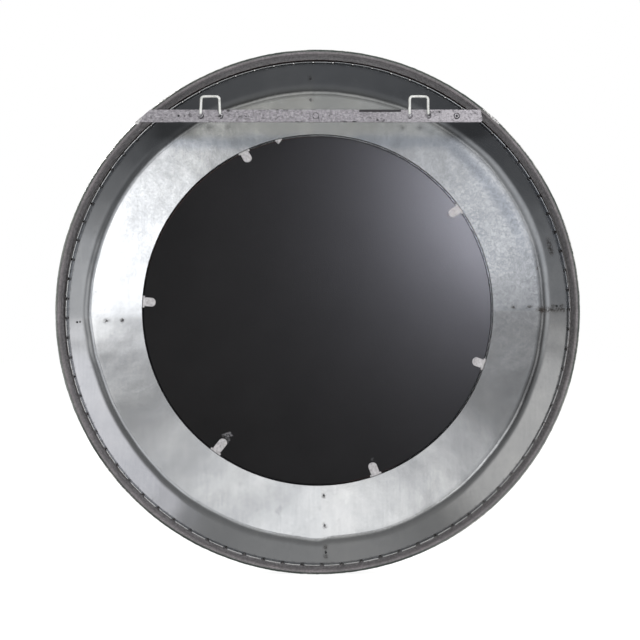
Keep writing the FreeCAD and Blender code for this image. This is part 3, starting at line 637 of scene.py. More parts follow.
def blend_stops(angle, stops):
    """Smoothly interpolated value from (angle, value) stops round the circle."""
    angle %= 360
    stops = [(stops[-1][0] - 360, stops[-1][1])] + stops + [(stops[0][0] + 360, stops[0][1])]
    for (a, low), (b, high) in zip(stops, stops[1:]):
        if a <= angle <= b:
            t = (angle - a) / (b - a) if b > a else 0.0
            t = t * t * (3 - 2 * t)
            return low + (high - low) * t
    return stops[-1][1]


# How far out the hand-rolled bend wanders round the dish, in millimetres at each angle.
BEND_SHIFT = [(2, 3), (20, 6.5), (38, 6), (60, 0), (78, -4.5), (104, -4), (125, 2), (148, 6.5), (180, 7.5),
              (187, 4.5), (198, 0), (215, -2), (240, 0), (262, 1), (270.5, 4.5), (273.5, 1), (290, 3),
              (305, 1), (322, -2), (338, -2), (352, 0.5)]


def warp(angle, radius, quarter):
    """Slow unevenness of hand-made sheet, in millimetres of depth."""
    a = math.radians(angle)
    x, y = radius * math.cos(a) / 60.0, radius * math.sin(a) / 60.0
    return 0.45 * rough(x, y, 0.0, 10.0 + quarter) + 0.10 * rough(x * 3, y * 3, 0.0, 20.0 + quarter)


def sheet_points(angle, quarter, leaf):
    """Rear side points of one column, from the opening to the free edge."""
    shift = blend_stops(angle, BEND_SHIFT) + 0.6 * rough(angle * 0.2, quarter * 3.0, 0.0, 4.0)
    bend_start = BEND_START + shift
    inner = opening_edge(angle)
    points = [(inner + (bend_start - inner) * i / RING_ROWS, FACE_DEPTH, 0.0, 1.0) for i in range(RING_ROWS)]
    points += sheet_section(bend_start)
    random_leaf = random.Random(leaf * 31 + quarter * 977)
    lean, length = random_leaf.uniform(-0.45, 0.45), random_leaf.uniform(-0.5, 0.4)
    moved = []
    for radius, depth, normal_r, normal_d in points:
        if radius < 441.0:
            depth += warp(angle, radius, quarter) * min(1.0, (441.0 - radius) / 20.0)
        if normal_r > 0.999:
            share = max(0.0, 41.0 - depth) / 10.0
            radius += lean * share - 0.15 * share
            depth -= length * share
        moved.append((radius, depth, normal_r, normal_d))
    return moved


def make_sheet(quarter):
    """A quarter of the dish with its notched flange, and the strip that laps under the next quarter."""
    first = FIRST_SEAM + 90.0 * quarter
    columns = sheet_columns(first)
    rear, front = [], []
    for angle, leaf, _ in columns:
        for radius, depth, normal_r, normal_d in sheet_points(angle, quarter, leaf):
            rear.append(polar(angle, radius, depth, DISH_Z))
            front.append(polar(angle, radius + SHEET_GAUGE * normal_r, depth + SHEET_GAUGE * normal_d, DISH_Z))
    count = len(rear)
    rows = count // len(columns)
    open_columns = {i for i, (_, _, notch) in enumerate(columns) if notch} | {0, len(columns) - 2}

    def skipped(i, j):
        return j >= rows - CUT_ROWS and i in open_columns

    verts = rear + front
    faces = grid_faces(len(columns), rows, skip=skipped)
    edges = {}
    for face in faces:
        for a, b in zip(face, face[1:] + face[:1]):
            key = (min(a, b), max(a, b))
            edges[key] = edges.get(key, 0) + 1
    faces += grid_faces(len(columns), rows, skip=skipped, start=count)
    faces += [(a, b, b + count, a + count) for (a, b), uses in edges.items() if uses == 1]
    start = len(verts)
    for step in range(5):
        angle = first + 90.0 - 1.0 + 3.0 * step / 4
        points = sheet_points(min(angle, first + 90.0), quarter, LEAVES_PER_SHEET - 1)[:STRIP_ROWS]
        for share, order in zip((1.02, 2.0) if step else (0.5, 1.9), (points, points[::-1])):
            lift = share * SHEET_GAUGE
            verts += [polar(angle, r + lift * nr, d + lift * nd, DISH_Z) for r, d, nr, nd in order]
    size = STRIP_ROWS * 2
    faces += grid_faces(5, size, close_columns=True, start=start)
    faces.append(tuple(range(start, start + size)))
    faces.append(tuple(range(start + 4 * size, start + 5 * size)))
    return verts, faces


SEAMS = [FIRST_SEAM + 90.0 * q for q in range(4)]
# Seam number and distance from the dish axis of the scorched spots beside the seams.
SCORCHED = [(0, 352), (0, 381), (0, 421), (0, 434), (1, 346), (1, 384), (1, 420), (2, 350), (2, 379), (3, 326),
            (3, 380), (3, 418), (3, 432)]
# How chalky the zinc is on the flange, at angles round the dish; partly painted light, whiter at the bottom and left
# and duller at the top.
CHALK_AND_PAINTED_LIGHT = [(0, 0.45), (30, 0.30), (60, 0.12), (120, 0.15), (150, 0.55), (180, 0.75), (270, 0.85), (330, 0.65)]


def sheet_mark(co):
    """Positive for stains at seams, welds and dirty patches and for painted shadow in the flange's notches, negative
    for chalky zinc on the flange, its amount partly painted light.
    """
    x, z = -co.x, co.z - DISH_Z
    radius, angle = around(co, DISH_Z)
    value = 0.0
    for number, at in SCORCHED:
        along, across = turned(x, z, SEAMS[number] + 0.9)
        value = max(value, 0.95 * math.exp(-(math.hypot(along - at, across) / 3.6) ** 2))
    along, across = turned(x, z, SEAMS[0])
    if 395 < along < 440:
        value = max(value, 0.75 * math.exp(-(across / 6.0) ** 2))
    along, across = turned(x, z, 16.0)
    value = max(value, 0.85 * math.exp(-((along - 431.0) / 4.5) ** 2 - (across / 17.0) ** 4))
    along, across = turned(x, z, 11.7)
    value = max(value, 0.9 * math.exp(-((along - 402) ** 2 + across ** 2) / 8.0))
    step = (angle - FIRST_SEAM) % LEAF
    weld = math.exp(-(((step - 2.3) / 0.22) ** 2)) * math.exp(-(((radius - 441.5) / 1.6) ** 2))
    # Painted shadow: the notches between the flange's leaves are marked dark.
    step = (angle - FIRST_SEAM + 0.2) % LEAF
    if radius > 442.0 and step < 0.4:
        return 1.0
    if radius > 440.0 and -co.y < 36.0 and value < 0.3:
        return -blend_stops(angle, CHALK_AND_PAINTED_LIGHT)
    return max(value, 0.8 * weld)


# Painted light and shade round the flat ring and along its bend: how much brighter or darker the zinc is made at each
# angle, where reflections fall.
RING_PAINTED_LIGHT = [(3, 0.68), (20, 0.96), (40, 0.92), (60, 0.76), (90, 0.86), (120, 0.78), (135, 0.95), (150, 1.08),
             (179.5, 1.10), (182.5, 0.80), (196, 0.62), (208, 0.58), (222, 0.86), (271, 0.97), (316, 0.90),
             (333, 0.52), (350, 0.52), (359.5, 0.54)]
BEND_PAINTED_LIGHT = [(0, 0.25), (10, 0.36), (24, 0.68), (48, 0.60), (62, 0.5), (118, 0.5), (132, 0.9), (180, 1), (270, 1),
             (322, 0.75), (342, 0.25)]


def zinc(co):
    """Colour multiplier, carrying painted light, shade and reflections, and share of visible spangle at a point of
    the sheets.
    """
    x, z = -co.x, co.z - DISH_Z
    radius, angle = around(co, DISH_Z)
    t = min(1.0, max(0.0, (radius - 396.0) / 16.0))
    ring = blend_stops(angle, RING_PAINTED_LIGHT)
    tone = ring + (1.0 - ring) * t
    bend = radius - blend_stops(angle, BEND_SHIFT)
    tone *= 1.0 - (1.0 - blend_stops(angle, BEND_PAINTED_LIGHT)) * spread(bend, 399.0, 404.0, 3.0)
    # Painted shade: the sheet is darker below both ends of the bar, standing for the bar's dark reflection there.
    tone *= 1.0 - 0.42 * spread(abs(co.x + 6.0), 236.0, 282.0, 22.0) * spread(co.z, -24.0, -8.0, 9.0)
    # Painted reflection: a bluish band below the bar that turns down beside the right bend. The sheet above it is
    # painted warmer, as the reflection of the bar's front.
    wander = 5.0 * rough(x / 45.0, z / 45.0, 0.0, 24.0)
    painted_reflection_band = spread(co.z + wander, -38.0, -32.0, 9.0) * spread(co.x, -240.0, 260.0, 40.0)
    painted_reflection_band = max(painted_reflection_band, spread(radius + wander, 383.0, 388.0, 8.0) * spread(angle, 28.0, 52.0, 9.0)) * (1 - t)
    painted_warm_reflection = spread(co.z + wander, -16.0, 60.0, 10.0) * (1 - t)
    tone *= 1.0 - 0.24 * painted_reflection_band
    # Painted glint: the spangle shows most at the upper right, and somewhat at the upper left, where it catches the
    # light.
    spangle = 0.08 + 0.50 * math.exp(-(((angle + 180 - 22) % 360 - 180) / 32.0) ** 2) * (1 - 0.7 * t)
    spangle += 0.20 * spread(angle, 100.0, 150.0, 15.0) * (1 - t)
    tone *= 1.0 - 0.10 * painted_warm_reflection
    return tone * (1 - 0.03 * painted_reflection_band + 0.01 * painted_warm_reflection), tone, tone * (1 + 0.05 * painted_reflection_band - 0.05 * painted_warm_reflection), spangle


# Place, turn of the rolling streaks and tint of each quarter.
SHEETS = [
    ("upper_right", 20.0, (0.985, 0.995, 1.01)),
    ("upper_left", 75.0, (1.0, 1.005, 1.01)),
    ("lower_left", -35.0, (1.0, 1.0, 1.0)),
    ("lower_right", 5.0, (1.01, 1.005, 1.0)),
]
for quarter, (place, turn, tint) in enumerate(SHEETS):
    verts, faces = make_sheet(quarter)
    material = galvanised("galvanised_" + place, turn, tint)
    make_piece("dish_" + place, verts, faces, material, ["face_sheet_" + place], 30.0,
               sheet_mark, zinc)


# ---------------- hanging bar

BAR_HALF = 10.9
BAR_GAUGE = 3.0
BAR_STEPS = 620
HOLE_X = 241.5
HOLE_R = 2.2
# Heights of the rows by the bar's upper edge and how far the bevel draws each one in.
BEVEL = [(10.1, 0.0), (10.6, -0.12), (BAR_HALF, -0.55)]


def bar_end(z, side):
    """Where the bar meets the rim at a height: on a circle just inside the rim's outer edge."""
    return side * math.sqrt(456.0 ** 2 - (HOOP_Z - z) ** 2)


def bar_right_end(z):
    """The right end is cut short of the rim and rounded at its lower corner."""
    corner = max(0.0, -z - 4.9)
    return -287.0 + 0.18 * (z + BAR_HALF) + 6.0 - math.sqrt(max(0.0, 36.0 - corner ** 2))


def make_bar():
    """A slightly uneven flat bar with beveled edges."""
    bm = bmesh.new()
    rows = [(-z, drop) for z, drop in BEVEL[::-1]] + [(-9.4 + 18.8 * k / 22, 0.0) for k in range(23)] + BEVEL
    rings = []
    for i in range(BAR_STEPS + 1):
        t = i / BAR_STEPS
        ring = []
        for rear, order in ((True, rows), (False, rows[::-1])):
            for z, drop in order:
                y = drop if rear else -BAR_GAUGE - drop
                left, right = bar_end(z, 1.0), bar_right_end(z)
                x = right + (left - right) * t
                uneven = 0.22 * rough(x * 0.03, z * 0.05, y, 6.0) + 0.10 * rough(x * 0.2, z * 0.2, y, 7.0)
                edge = 0.25 * rough(x * 0.09, 0.0, 0.0, 8.0 + (z > 0)) if abs(z) > 9 else 0.0
                if rear:
                    y += min(0.0, uneven - 0.1)
                ring.append(bm.verts.new(Vector((x, y, z + edge)) / 1000))
        rings.append(ring)
    size = len(rings[0])
    for a, b in zip(rings, rings[1:]):
        for k in range(size):
            bm.faces.new((a[k], a[(k + 1) % size], b[(k + 1) % size], b[k]))
    bm.faces.new(rings[0])
    bm.faces.new(list(reversed(rings[-1])))
    mesh = bpy.data.meshes.new("bar")
    bm.to_mesh(mesh)
    bm.free()
    return mesh


# Bare patches of the bar: from x, to x, from z, to z and strength.
BARE = [
    (-143, -74, 7.5, 11, 0.95), (-26, -19, -5, 3, 0.42), (-46, -30, -1, 0.5, 0.4),
    (-68, -30, -11, -9.5, 0.6), (27, 57, -11, -10.2, 0.6), (5, 91, 10, 11, 0.55),
    (118, 140, -2, 1.5, 0.55), (150, 178, 8, 11, 0.6), (205, 232, -1, 2.5, 0.5),
    (262, 285, 2, 4, 0.45), (-215, -196, 4, 8, 0.6), (-120, -102, -9, -5, 0.6),
]


def bar_mark(co):
    """Bare dark steel in scraped patches, round the struck ring near the middle and round the holes, and painted
    shadow round the loop feet.
    """
    value = 0.0
    for left, right, low, high, strength in BARE:
        value = max(value, strength * spread(co.x, left, right, 3.0) * spread(co.z, low, high, 1.2))
    value = max(value, 0.42 * spread(abs(co.z), 10.4, 12.0, 0.8))
    # Painted shadow: dark rings round the loop feet, heavier on the viewer's right.
    for x in (203.3, 169.1, -159.3, -191.9):
        away = math.hypot(co.x - x, co.z)
        value = max(value, (0.95 if co.x < x + 1.0 else 0.5) * math.exp(-((away - 4.8) / 1.1) ** 2))
    ring = math.hypot(co.x - 3.3, co.z)
    if co.y > -1.0:
        value = max(value, 0.9 * math.exp(-((ring - 5.2) / 0.8) ** 2))
        for x in (HOLE_X, -HOLE_X):
            away = math.hypot(co.x - x, co.z)
            value = max(value, (0.9 if x < 0 else 0.4) * math.exp(-((away - 4.6) / 1.3) ** 2))
    return value


def punch(piece, spots, radius, depth):
    """The piece's mesh with round holes cut through it."""
    cutter_mesh = bpy.data.meshes.new("cutter")
    bm = bmesh.new()
    for x, z in spots:
        rings = []
        for y in (-depth, 2.0):
            rings.append([
                bm.verts.new(Vector((x + radius * math.cos(t), y, z + radius * math.sin(t))) / 1000)
                for t in [math.tau * i / 32 for i in range(32)]
            ])
        for i in range(32):
            bm.faces.new((rings[0][i], rings[0][(i + 1) % 32], rings[1][(i + 1) % 32], rings[1][i]))
        bm.faces.new(rings[0])
        bm.faces.new(list(reversed(rings[1])))
    bmesh.ops.recalc_face_normals(bm, faces=bm.faces)
    bm.to_mesh(cutter_mesh)
    bm.free()
    cutter = bpy.data.objects.new("cutter", cutter_mesh)
    bpy.context.scene.collection.objects.link(cutter)
    boolean = piece.modifiers.new("holes", "BOOLEAN")
    boolean.operation = "DIFFERENCE"
    boolean.object = cutter
    boolean.solver = "EXACT"
    dg = bpy.context.evaluated_depsgraph_get()
    mesh = bpy.data.meshes.new_from_object(piece.evaluated_get(dg))
    bpy.data.objects.remove(cutter)
    return mesh


blank = bpy.data.objects.new("bar_blank", make_bar())
bpy.context.scene.collection.objects.link(blank)
mesh = punch(blank, [(HOLE_X, 0.0), (-HOLE_X, 0.0)], HOLE_R, BAR_GAUGE + 1)
bpy.data.objects.remove(blank)
verts = [v.co.copy() for v in mesh.vertices]
faces = [tuple(p.vertices) for p in mesh.polygons]
bar = make_piece("hanging_bar_painted", verts, faces, BAR, ["hanging_bar"], 30.0, bar_mark)
bar.visible_glossy = False


# ---------------- wire loops and welds

WIRE_R = 2.25
WIRE_SIDES = 16
LOOP_HALF = 15.8
# Side, middle, lean and splay of the legs of each loop.
LOOPS = [("left", 186.2, -0.004, 1.3), ("right", -175.6, 0.012, 0.5)]


def tube(path, radius, seed, sides):
    """A round wire along a path, very slightly uneven, with domed ends."""
    verts, count, side = [], len(path), Vector((0, 1, 0))
    for i, point in enumerate(path):
        ahead = path[min(i + 1, count - 1)] - path[max(i - 1, 0)]
        ahead.normalize()
        up = ahead.cross(side).normalized()
        r = radius * (1.0 + 0.03 * rough(i * 0.35, 0.0, 0.0, seed))
        if i in (0, count - 1):
            r *= 0.72
        for k in range(sides):
            t = math.tau * k / sides
            verts.append((point + (side * math.cos(t) + up * math.sin(t)) * r) / 1000)
    faces = grid_faces(count, sides, close_columns=True)
    faces.append(tuple(range(sides)))
    faces.append(tuple(range((count - 1) * sides, count * sides)))
    return verts, faces


def loop_path(middle, lean, splay):
    """Middle line of one U-shaped loop: up one leg, over the top and down the other."""
    half, top, low, corner = LOOP_HALF, 33.0, 2.5, 5.0
    points = []
    for i in range(15):
        t = i / 14
        points.append((-half - splay * (1 - t) ** 1.5, low + (top - corner - low) * t))
    for i in range(1, 10):
        t = math.radians(180.0 - 90.0 * i / 10)
        points.append((-half + corner + corner * math.cos(t), top - corner + corner * math.sin(t)))
    for i in range(11):
        points.append((-half + corner + (half - corner) * 2 * i / 10, top + 0.35 * math.sin(math.pi * i / 10)))
    for i in range(1, 10):
        t = math.radians(90.0 - 90.0 * i / 10)
        points.append((half - corner + corner * math.cos(t), top - corner + corner * math.sin(t)))
    for i in range(15):
        t = 1 - i / 14
        points.append((half + splay * (1 - t) ** 1.5, low + (top - corner - low) * t))
    return [Vector((middle + x, WIRE_R, z + lean * x)) for x, z in points]


for side, middle, lean, splay in LOOPS:
    verts, faces = tube(loop_path(middle, lean, splay), WIRE_R, 30.0 + middle, WIRE_SIDES)
    loop = make_piece("wire_loop_" + side, verts, faces, WIRE, ["hanging_loop_" + side], 50.0)
    loop.visible_glossy = False


def blob(lumps, seed):
    """Closed lumpy balls: each lump is (x, y, z, radius, flatness)."""
    verts, faces, steps, amount = [], [], 22, 0.3
    for x, y, z, radius, flat in lumps:
        start = len(verts)
        for i in range(1, steps):
            p = math.pi * i / steps
            for k in range(steps * 2):
                t = math.tau * k / (steps * 2)
                out = Vector((math.sin(p) * math.cos(t), math.cos(p), math.sin(p) * math.sin(t)))
                r = radius * (1 + amount * rough(out.x * 2.3 + x, out.y * 2.3, out.z * 2.3 + z, seed))
                verts.append((Vector((x, y, z)) + Vector((out.x, out.y * flat, out.z)) * r) / 1000)
        faces += grid_faces(steps - 1, steps * 2, close_columns=True, start=start)
        faces.append(tuple(start + k for k in range(steps * 2)))
        last = start + (steps - 2) * steps * 2
        faces.append(tuple(last + k for k in range(steps * 2)))
    return verts, faces


for side, middle, _, splay in LOOPS:
    lumps = []
    for leg in (-1, 1):
        x = middle + leg * (LOOP_HALF + splay)
        lumps += [(x - 2.0, 0.4, 1.4, 2.3, 0.8), (x + 2.0, 0.4, 1.6, 2.3, 0.8), (x, 0.5, -0.6, 2.9, 0.9)]
    verts, faces = blob(lumps, 40.0 + middle)
    make_piece("loop_weld_" + side, verts, faces, WELD_PAINTED, ["loop_welds_" + side], 60.0)

# Height and radius of the lumps at each end of the bar.
heavy = [(-12.2 + 1.6 * i, 2.9 - 0.25 * (i % 2) + 0.2 * rough(i, 1.0, 0, 50.0)) for i in range(5)]
light = []
for i in range(13):
    z = -13.0 + 2.0 * i
    light.append((z, 1.0 + 1.5 * spread(z, -8.0, -4.0, 4.0) + 0.35 * rough(i * 0.7, 0, 0, 51.0)))
# The bar-end welds are near-white, partly a painted highlight along the hem at each end of the bar.
for side, sign, y, sizes in (("left", 1.0, -1.9, heavy), ("right", -1.0, -2.9, light)):
    lumps = [(bar_end(z, sign) * (452.0 / 456.0), y, z, radius, 0.75) for z, radius in sizes]
    verts, faces = blob(lumps, 60.0 + sign)
    make_piece("bar_end_weld_" + side, verts, faces, WELD_HIGHLIGHTED, ["bar_weld_" + side], 60.0)


# ---------------- board, glass and what holds them

def board_mark(co):
    """1 where the face is torn or scuffed, -1 to -2 on the black to raw brown chamfer round the edge."""
    x, z = BOARD_X - co.x, co.z - BOARD_Z
    radius, angle = around(co, BOARD_Z, BOARD_X)
    if radius > BOARD_RADIUS - 2.2 and -co.y < 78.2:
        shown = 0.55 + 0.6 * ring_rough(angle, 8, 70.0)
        upper_left = math.exp(-((angle - 125.0) / 34.0) ** 2) + 0.5 * math.exp(-((angle - 286.0) / 12.0) ** 2)
        return -1.0 - min(1.0, upper_left * 1.3 + 0.15 * max(0.0, shown))
    along, across = turned(x, z, 234.2)
    ragged = 2.5 * rough(along * 0.35, across * 0.35, 0.0, 71.0)
    torn = spread(along + ragged, 270.5, 281.0, 1.8) * spread(across + 0.5 * (along - 275.0) + ragged, -3.5, 4.5, 2.0)
    torn = max(torn, 0.8 * spread(along, 279.0, 288.0, 2.0) * spread(across + ragged, 7.0, 8.4, 1.2))
    along, across = turned(x, z, 290.5)
    scuff = 0.42 * spread(along, 283.0, 286.5, 1.5) * spread(across, -3.0, 2.0, 1.5)
    return min(1.0, max(torn, scuff))


def board_warp(angle, radius, depth):
    """Slow waves across the board and a ragged sawn edge."""
    a = math.radians(angle)
    wave = 0.12 * rough(radius * math.cos(a) / 90.0, radius * math.sin(a) / 90.0, 0.0, 80.0)
    ragged = 0.35 * ring_rough(angle, 60, 81.0) if radius > BOARD_RADIUS - 1.0 else 0.0
    return radius + min(0.0, ragged), depth + (wave if depth < 78 else 0.0)


section = [(BOARD_RADIUS * i / 240, BOARD_DEPTH) for i in range(238)]
section += [(BOARD_RADIUS - inset, depth) for inset, depth in (
    (2.6, BOARD_DEPTH), (1.4, BOARD_DEPTH + 0.08), (0.8, 76.3), (0.25, 76.8), (0.0, 77.4), (0.0, 78.8), (0.3, 79.0))]
section += [(BOARD_RADIUS / 2, 79.0), (0.0, 79.0)]
verts, faces = disc(section, 720, BOARD_Z, BOARD_X, board_warp)
board = make_piece("backing_board_black", verts, faces, BOARD, ["backing_board"], 50.0, board_mark)

# Radius of the glass, depth of its edge, its thickness and the radius of the dome.
GLASS_R, GLASS_EDGE, GLASS, DOME = 312.5, 82.0, 4.0, 1240.7
dome_centre = GLASS_EDGE - math.sqrt(DOME ** 2 - GLASS_R ** 2)
section = [(r, dome_centre + math.sqrt(DOME ** 2 - r ** 2)) for r in [GLASS_R * i / 48 for i in range(49)]]
section += [(GLASS_R, GLASS_EDGE + 1.0), (GLASS_R, GLASS_EDGE + 3.0)]
for i in reversed(range(97)):
    r = (GLASS_R - 0.4) * i / 96
    section.append((r, dome_centre + math.sqrt((DOME + GLASS) ** 2 - r ** 2)))
verts, faces = disc(section, 480, OPENING_Z)
make_piece("mirror_dome", verts, faces, MIRROR, ["mirror_glass"], 40.0)


def bezel_mark(co):
    """Painted shade: dark specks inside the bezel's wall, beside the board, where it lies in the gap."""
    return 1.6 if around(co, OPENING_Z)[0] < 317.0 and 77.2 < -co.y < 85.0 else 0.0


section = arc(331.6, 77.5, 0.6, -90.0, 90.0, 6)
section += arc(317.6, 79.2, 1.1, 270.0, 180.0, 5)
section += [(316.5, 83.0)] + arc(315.5, 86.4, 1.0, 0.0, 76.0, 5)
section += [(310.0, 88.35), (306.0, 89.3)] + arc(303.1, 89.6, 0.6, 76.0, 256.0, 6)
section += [(306.0, 88.3), (310.0, 87.2), (315.0, 86.1), (315.3, 85.5), (315.3, 80.0), (315.3, 77.3)]
section += [(316.0, 76.9), (320.0, 76.9)]
verts, faces = revolve(section, 720, OPENING_Z)
make_piece("bezel_formed", verts, faces, BEZEL, ["bezel_ring"], 35.0, bezel_mark)


TONGUE_LEG_R = 315.1
TONGUE_GAUGE = 1.0
ACROSS = [-1.0, -0.75, -0.4, 0.0, 0.4, 0.75, 1.0]


def tongue_outline(length, broken):
    """Distance from the bend, half width and sideways shift of each row of the blade."""
    if broken:
        return [(length * i / 8, 6.5 * (1 - i / 8) ** 0.8, 1.8 * i / 8) for i in range(9)]
    half, ear = 7.8, 10.5
    outline = [(0.0, ear, 0.0), (1.2, ear, 0.0), (2.3, ear, 0.0), (2.9, 10.0, 0.0), (3.2, 7.3, 0.0),
               (4.3, 7.1, 0.0), (5.4, half, 0.0), ((length - half) * 0.6, half, 0.0)]
    for i in range(11):
        t = math.radians(90.0 * i / 10)
        outline.append((length - half + half * math.sin(t), max(0.35, half * math.cos(t)), 0.0))
    return outline


def make_tongue(number, angle, length, lift, skew, broken=False):
    """A tongue bent over the board: its leg, a rounded bend, the ears and the flat blade."""
    outline = tongue_outline(length, broken)
    width, edge = outline[0][1], TONGUE_LEG_R
    # Each row is the upper and lower (radius, depth), the half width, the shift and the slant.
    rows = [((edge - TONGUE_GAUGE, depth), (edge, depth), width, 0.0, 0.0) for depth in (84.6, 80.0, 77.6)]
    for degrees in (25.0, 50.0, 75.0):
        c, s = math.cos(math.radians(degrees)), math.sin(math.radians(degrees))
        rows.append(((edge - TONGUE_GAUGE - 0.5 + 0.5 * c, 76.6 - 0.5 * s), (edge - 1.5 + 1.5 * c, 76.6 - 1.5 * s),
                     width, 0.0, 0.0))
    for at, width, shift in outline:
        raised = 0.1 + lift * (at / length) ** 1.6
        place = edge - 1.5 - at * (length - 1.5) / length
        rows.append(((place, 75.9 - raised), (place, 74.9 - raised), width, shift, skew * at))
    a = math.radians(angle)
    out, side = Vector((-math.cos(a), 0, math.sin(a))), Vector((math.sin(a), 0, math.cos(a)))
    verts = []
    for top, bottom, width, shift, slant in rows:
        for (r, depth), order in ((top, ACROSS), (bottom, ACROSS[::-1])):
            for share in order:
                s = width * share + shift + slant
                wobble = 0.12 * rough(r * 0.4, s * 0.4, depth, 90.0 + number)
                verts.append((out * r + side * (s + wobble) + Vector((0, -depth, OPENING_Z))) / 1000)
    size = len(ACROSS) * 2
    faces = grid_faces(len(rows), size, close_columns=True)
    faces.append(tuple(range(size)))
    faces.append(tuple(range((len(rows) - 1) * size, len(rows) * size)))
    return verts, faces


# Number, angle, length, lift of the tip and skew of each tongue.
TONGUES = [
    (1, 35.6, 24, 0.9, 0.03),
    (2, 115, 22, 0.8, -0.06),
    (3, 177.2, 24, 0.7, 0.02),
    (4, 234.2, 30, 1.4, 0.05),
    (5, 289.5, 25, 0.6, -0.03),
    (6, 341.9, 23, 0.8, 0.04),
]
for number, angle, length, lift, skew in TONGUES:
    verts, faces = make_tongue(number, angle, length, lift, skew)
    make_piece(f"tongue_{number}", verts, faces, TONGUE, [f"retainer_tab_{number}"], 40.0)
verts, faces = make_tongue(7, 102.9, 9.0, 0.8, 0.0, broken=True)
make_piece("tongue_broken", verts, faces, TONGUE, ["retainer_stub"], 40.0)

# CAD pieces that keep their shape and get a finish.
for node, material in (("rim_edge_wire", WIRE), ("seam_spot_welds", WELD_DARK), ("flange_spot_welds", WELD_DARK),
                       ("glass_cushion", FOAM)):
    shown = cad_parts[node]
    shown.data.materials.clear()
    shown.data.materials.append(material)


# ---------------- stage, light and camera

def stage_material():
    """A pale floor that looks white to the camera and throws little light."""
    n = Nodes("pale_floor")
    tone = n.ramp(n.noise(3.0, 3.0), [(0.3, (0.93, 0.93, 0.93)), (0.7, (0.96, 0.96, 0.96))])
    tone = n.blend(0.72, tone, (0.0, 0.0, 0.0))
    n.shader.inputs["Emission Color"].default_value = (1, 1, 1, 1)
    n.shader.inputs["Emission Strength"].default_value = 0.90
    return n.finish(colour=tone, roughness=0.9, specular=0.0)


FLOOR = stage_material()
FLOOR_REACH = 9.0
floor_z = cad_low.z - 0.0002
for name, near, far in (("floor_front", -FLOOR_REACH, 0.02), ("floor_rear", 0.02, FLOOR_REACH)):
    mesh = bpy.data.meshes.new(name)
    corners = [(-FLOOR_REACH, near), (FLOOR_REACH, near), (FLOOR_REACH, far), (-FLOOR_REACH, far)]
    mesh.from_pydata([(x, y, floor_z) for x, y in corners], [], [(0, 1, 2, 3)])
    mesh.materials.append(FLOOR)
    floor = bpy.data.objects.new(name, mesh)
    bpy.context.scene.collection.objects.link(floor)
    floor.visible_glossy = False


def sky_direction(angle, tilt):
    """Unit vector at an angle seen from behind, tilted from the axis that points to the wall side."""
    a, t = math.radians(angle), math.radians(tilt)
    return (-math.cos(a) * math.sin(t), math.cos(t), math.sin(a) * math.sin(t))


# Soft boxes as smooth patches of sky: angle, tilt, full within, gone beyond, strength, colour (white if left out).
SOFT_BOXES = [
    (203, 38, 8, 30, 0.36, (0.99, 1, 1.01)),
    (270, 46, 8, 34, 0.07),
    (162, 11, 2, 8, 2.2),
    (270, 12, 3, 10, 0.95, (1, 1, 0.99)),
    (242, 11, 2, 8, 0.35),
    (298, 11, 2, 8, 0.35),
    (210, 11, 2, 9, 0.06, (0.98, 0.99, 1)),
    (345, 10, 2, 10, 0.14, (0.96, 0.99, 1.03)),
    (28, 11, 2, 9, 0.90, (0.98, 0.99, 1.02)),
    (90, 12, 3, 12, 0.27, (1, 1, 0.96)),
    (32, 76, 6, 30, 0.68, (0.985, 0.975, 1.02)),
    (150, 70, 5, 27, 0.42, (1, 0.985, 0.95)),
    (0, 66, 5, 26, 0.42),
    (0, 34, 2, 13, 0.45),
    (335, 62, 4, 24, 0.12),
    (180, 62, 4, 28, 0.10),
    (90, 75, 6, 34, 0.09),
    (55, 132, 12, 40, 0.65),
    (150, 140, 10, 36, 0.75, (1, 0.99, 0.97)),
]
WHITE = (1.0, 1.0, 1.0)


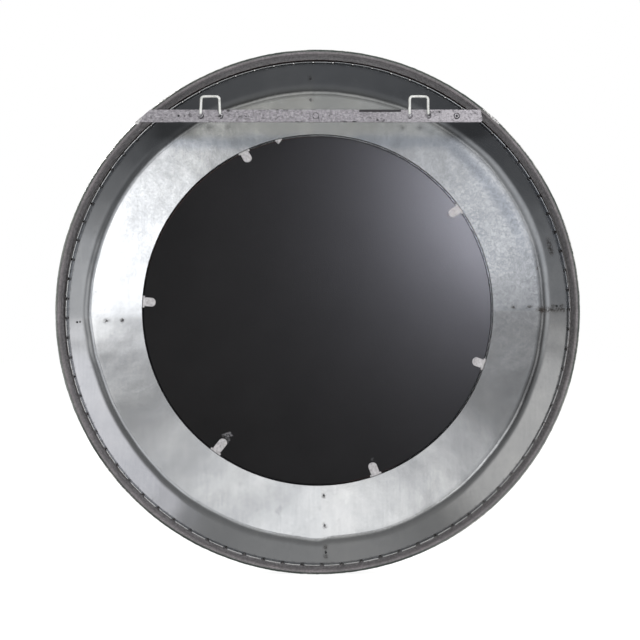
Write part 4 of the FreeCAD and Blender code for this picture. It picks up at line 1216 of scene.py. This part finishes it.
def make_world():
    """A dim studio with soft boxes round the back, seen as plain white by the camera."""
    n = Nodes("studio", world=True)
    bpy.context.scene.world = n.block
    parts = n.add("ShaderNodeSeparateXYZ", {0: n.coords}).outputs
    share = n.add("ShaderNodeMapRange", {"Value": parts["Z"], "From Min": -0.6, "From Max": 0.7}).outputs[0]
    surround = n.ramp(share, [(0.0, (0.070, 0.072, 0.075)), (1.0, (0.19, 0.19, 0.188))])
    # In front of the mirror there's a pale floor up to a soft horizon and a lighter wall above it.
    share = n.add("ShaderNodeMapRange", {"Value": parts["Z"], "From Min": -1.0, "From Max": 1.0}).outputs[0]
    greys = [(0.0, 0.42), (0.42, 0.60), (0.49, 0.50), (0.52, 0.24), (0.70, 0.36), (1.0, 0.62)]
    room = n.ramp(share, [(place, (grey * 0.99, grey, grey * 1.01)) for place, grey in greys])
    total = n.blend(n.step(parts["Y"], -0.05, -0.45), surround, room)
    for angle, tilt, full, gone, strength, *colour in SOFT_BOXES:
        middle = sky_direction(angle, tilt)
        dot = n.add("ShaderNodeVectorMath", {0: n.coords, 1: middle}, operation="DOT_PRODUCT").outputs["Value"]
        patch = n.step(dot, math.cos(math.radians(gone)), math.cos(math.radians(full)), 0.0, strength)
        tint = colour[0] if colour else WHITE
        tinted = n.add("ShaderNodeVectorMath", {0: tint, "Scale": patch}, operation="SCALE").outputs[0]
        total = n.add("ShaderNodeVectorMath", {0: total, 1: tinted}, operation="ADD").outputs[0]
    lit = n.add("ShaderNodeBackground", {"Color": total}).outputs[0]
    white = n.add("ShaderNodeBackground", {"Color": (1, 1, 1, 1)}).outputs[0]
    seen = n.add("ShaderNodeLightPath").outputs["Is Camera Ray"]
    n.add("ShaderNodeOutputWorld", {"Surface": n.add("ShaderNodeMixShader", {0: seen, 1: lit, 2: white}).outputs[0]})


make_world()


def area_light(name, place, aim, size, power, colour=WHITE, only=None):
    """A round lamp aimed at a point, which may light only some pieces."""
    light = bpy.data.lights.new(name, "AREA")
    light.shape = "DISK"
    light.size = size
    light.energy = power
    light.color = colour
    lamp = bpy.data.objects.new(name, light)
    bpy.context.scene.collection.objects.link(lamp)
    lamp.location = place
    lamp.rotation_mode = "QUATERNION"
    lamp.rotation_quaternion = (Vector(aim) - Vector(place)).to_track_quat("-Z", "Y")
    lamp.visible_camera = False
    if only:
        group = bpy.data.collections.new(name + "_lit")
        for thing in only:
            group.objects.link(thing)
        lamp.light_linking.receiver_collection = group
    return lamp


# A low soft box on the viewer's right gives the black board its sheen.
sheen = area_light("board_sheen", (-0.62, 1.0, 0.02), (-0.27, -0.076, -0.28), 0.5, 88.0, (0.86, 0.87, 1.0), [board])
sheen.visible_diffuse = False

# A broad fill from above and behind reaches paint, chalky edges and board, but isn't mirrored in the metal.
fill = area_light("fill", (-0.5, 2.6, 1.7), (0.0, 0.0, -0.4), 2.2, 85.0)
fill.visible_glossy = False

# A window-like soft box in front gives the mirror something to show.
area_light("front_window", (1.3, -2.3, 0.9), (0.0, -0.1, -0.34), 1.1, 38.0)

CAMERA_DISTANCE = 2.2
camera_data = bpy.data.cameras.new("camera")
camera_data.lens = 71.3
camera_data.sensor_width = 36.0
camera_data.shift_x = 0.0037
camera_data.shift_y = -0.0125
camera_data.clip_start = 0.05
camera_data.clip_end = 60.0
camera = bpy.data.objects.new("camera", camera_data)
scene = bpy.context.scene
scene.collection.objects.link(camera)
camera.location = (0.0, CAMERA_DISTANCE, HOOP_Z / 1000)
camera.rotation_mode = "QUATERNION"
camera.rotation_quaternion = Vector((0, -1, 0)).to_track_quat("-Z", "Y")
scene.camera = camera
scene.view_settings.view_transform = "Standard"
scene.view_settings.look = "None"
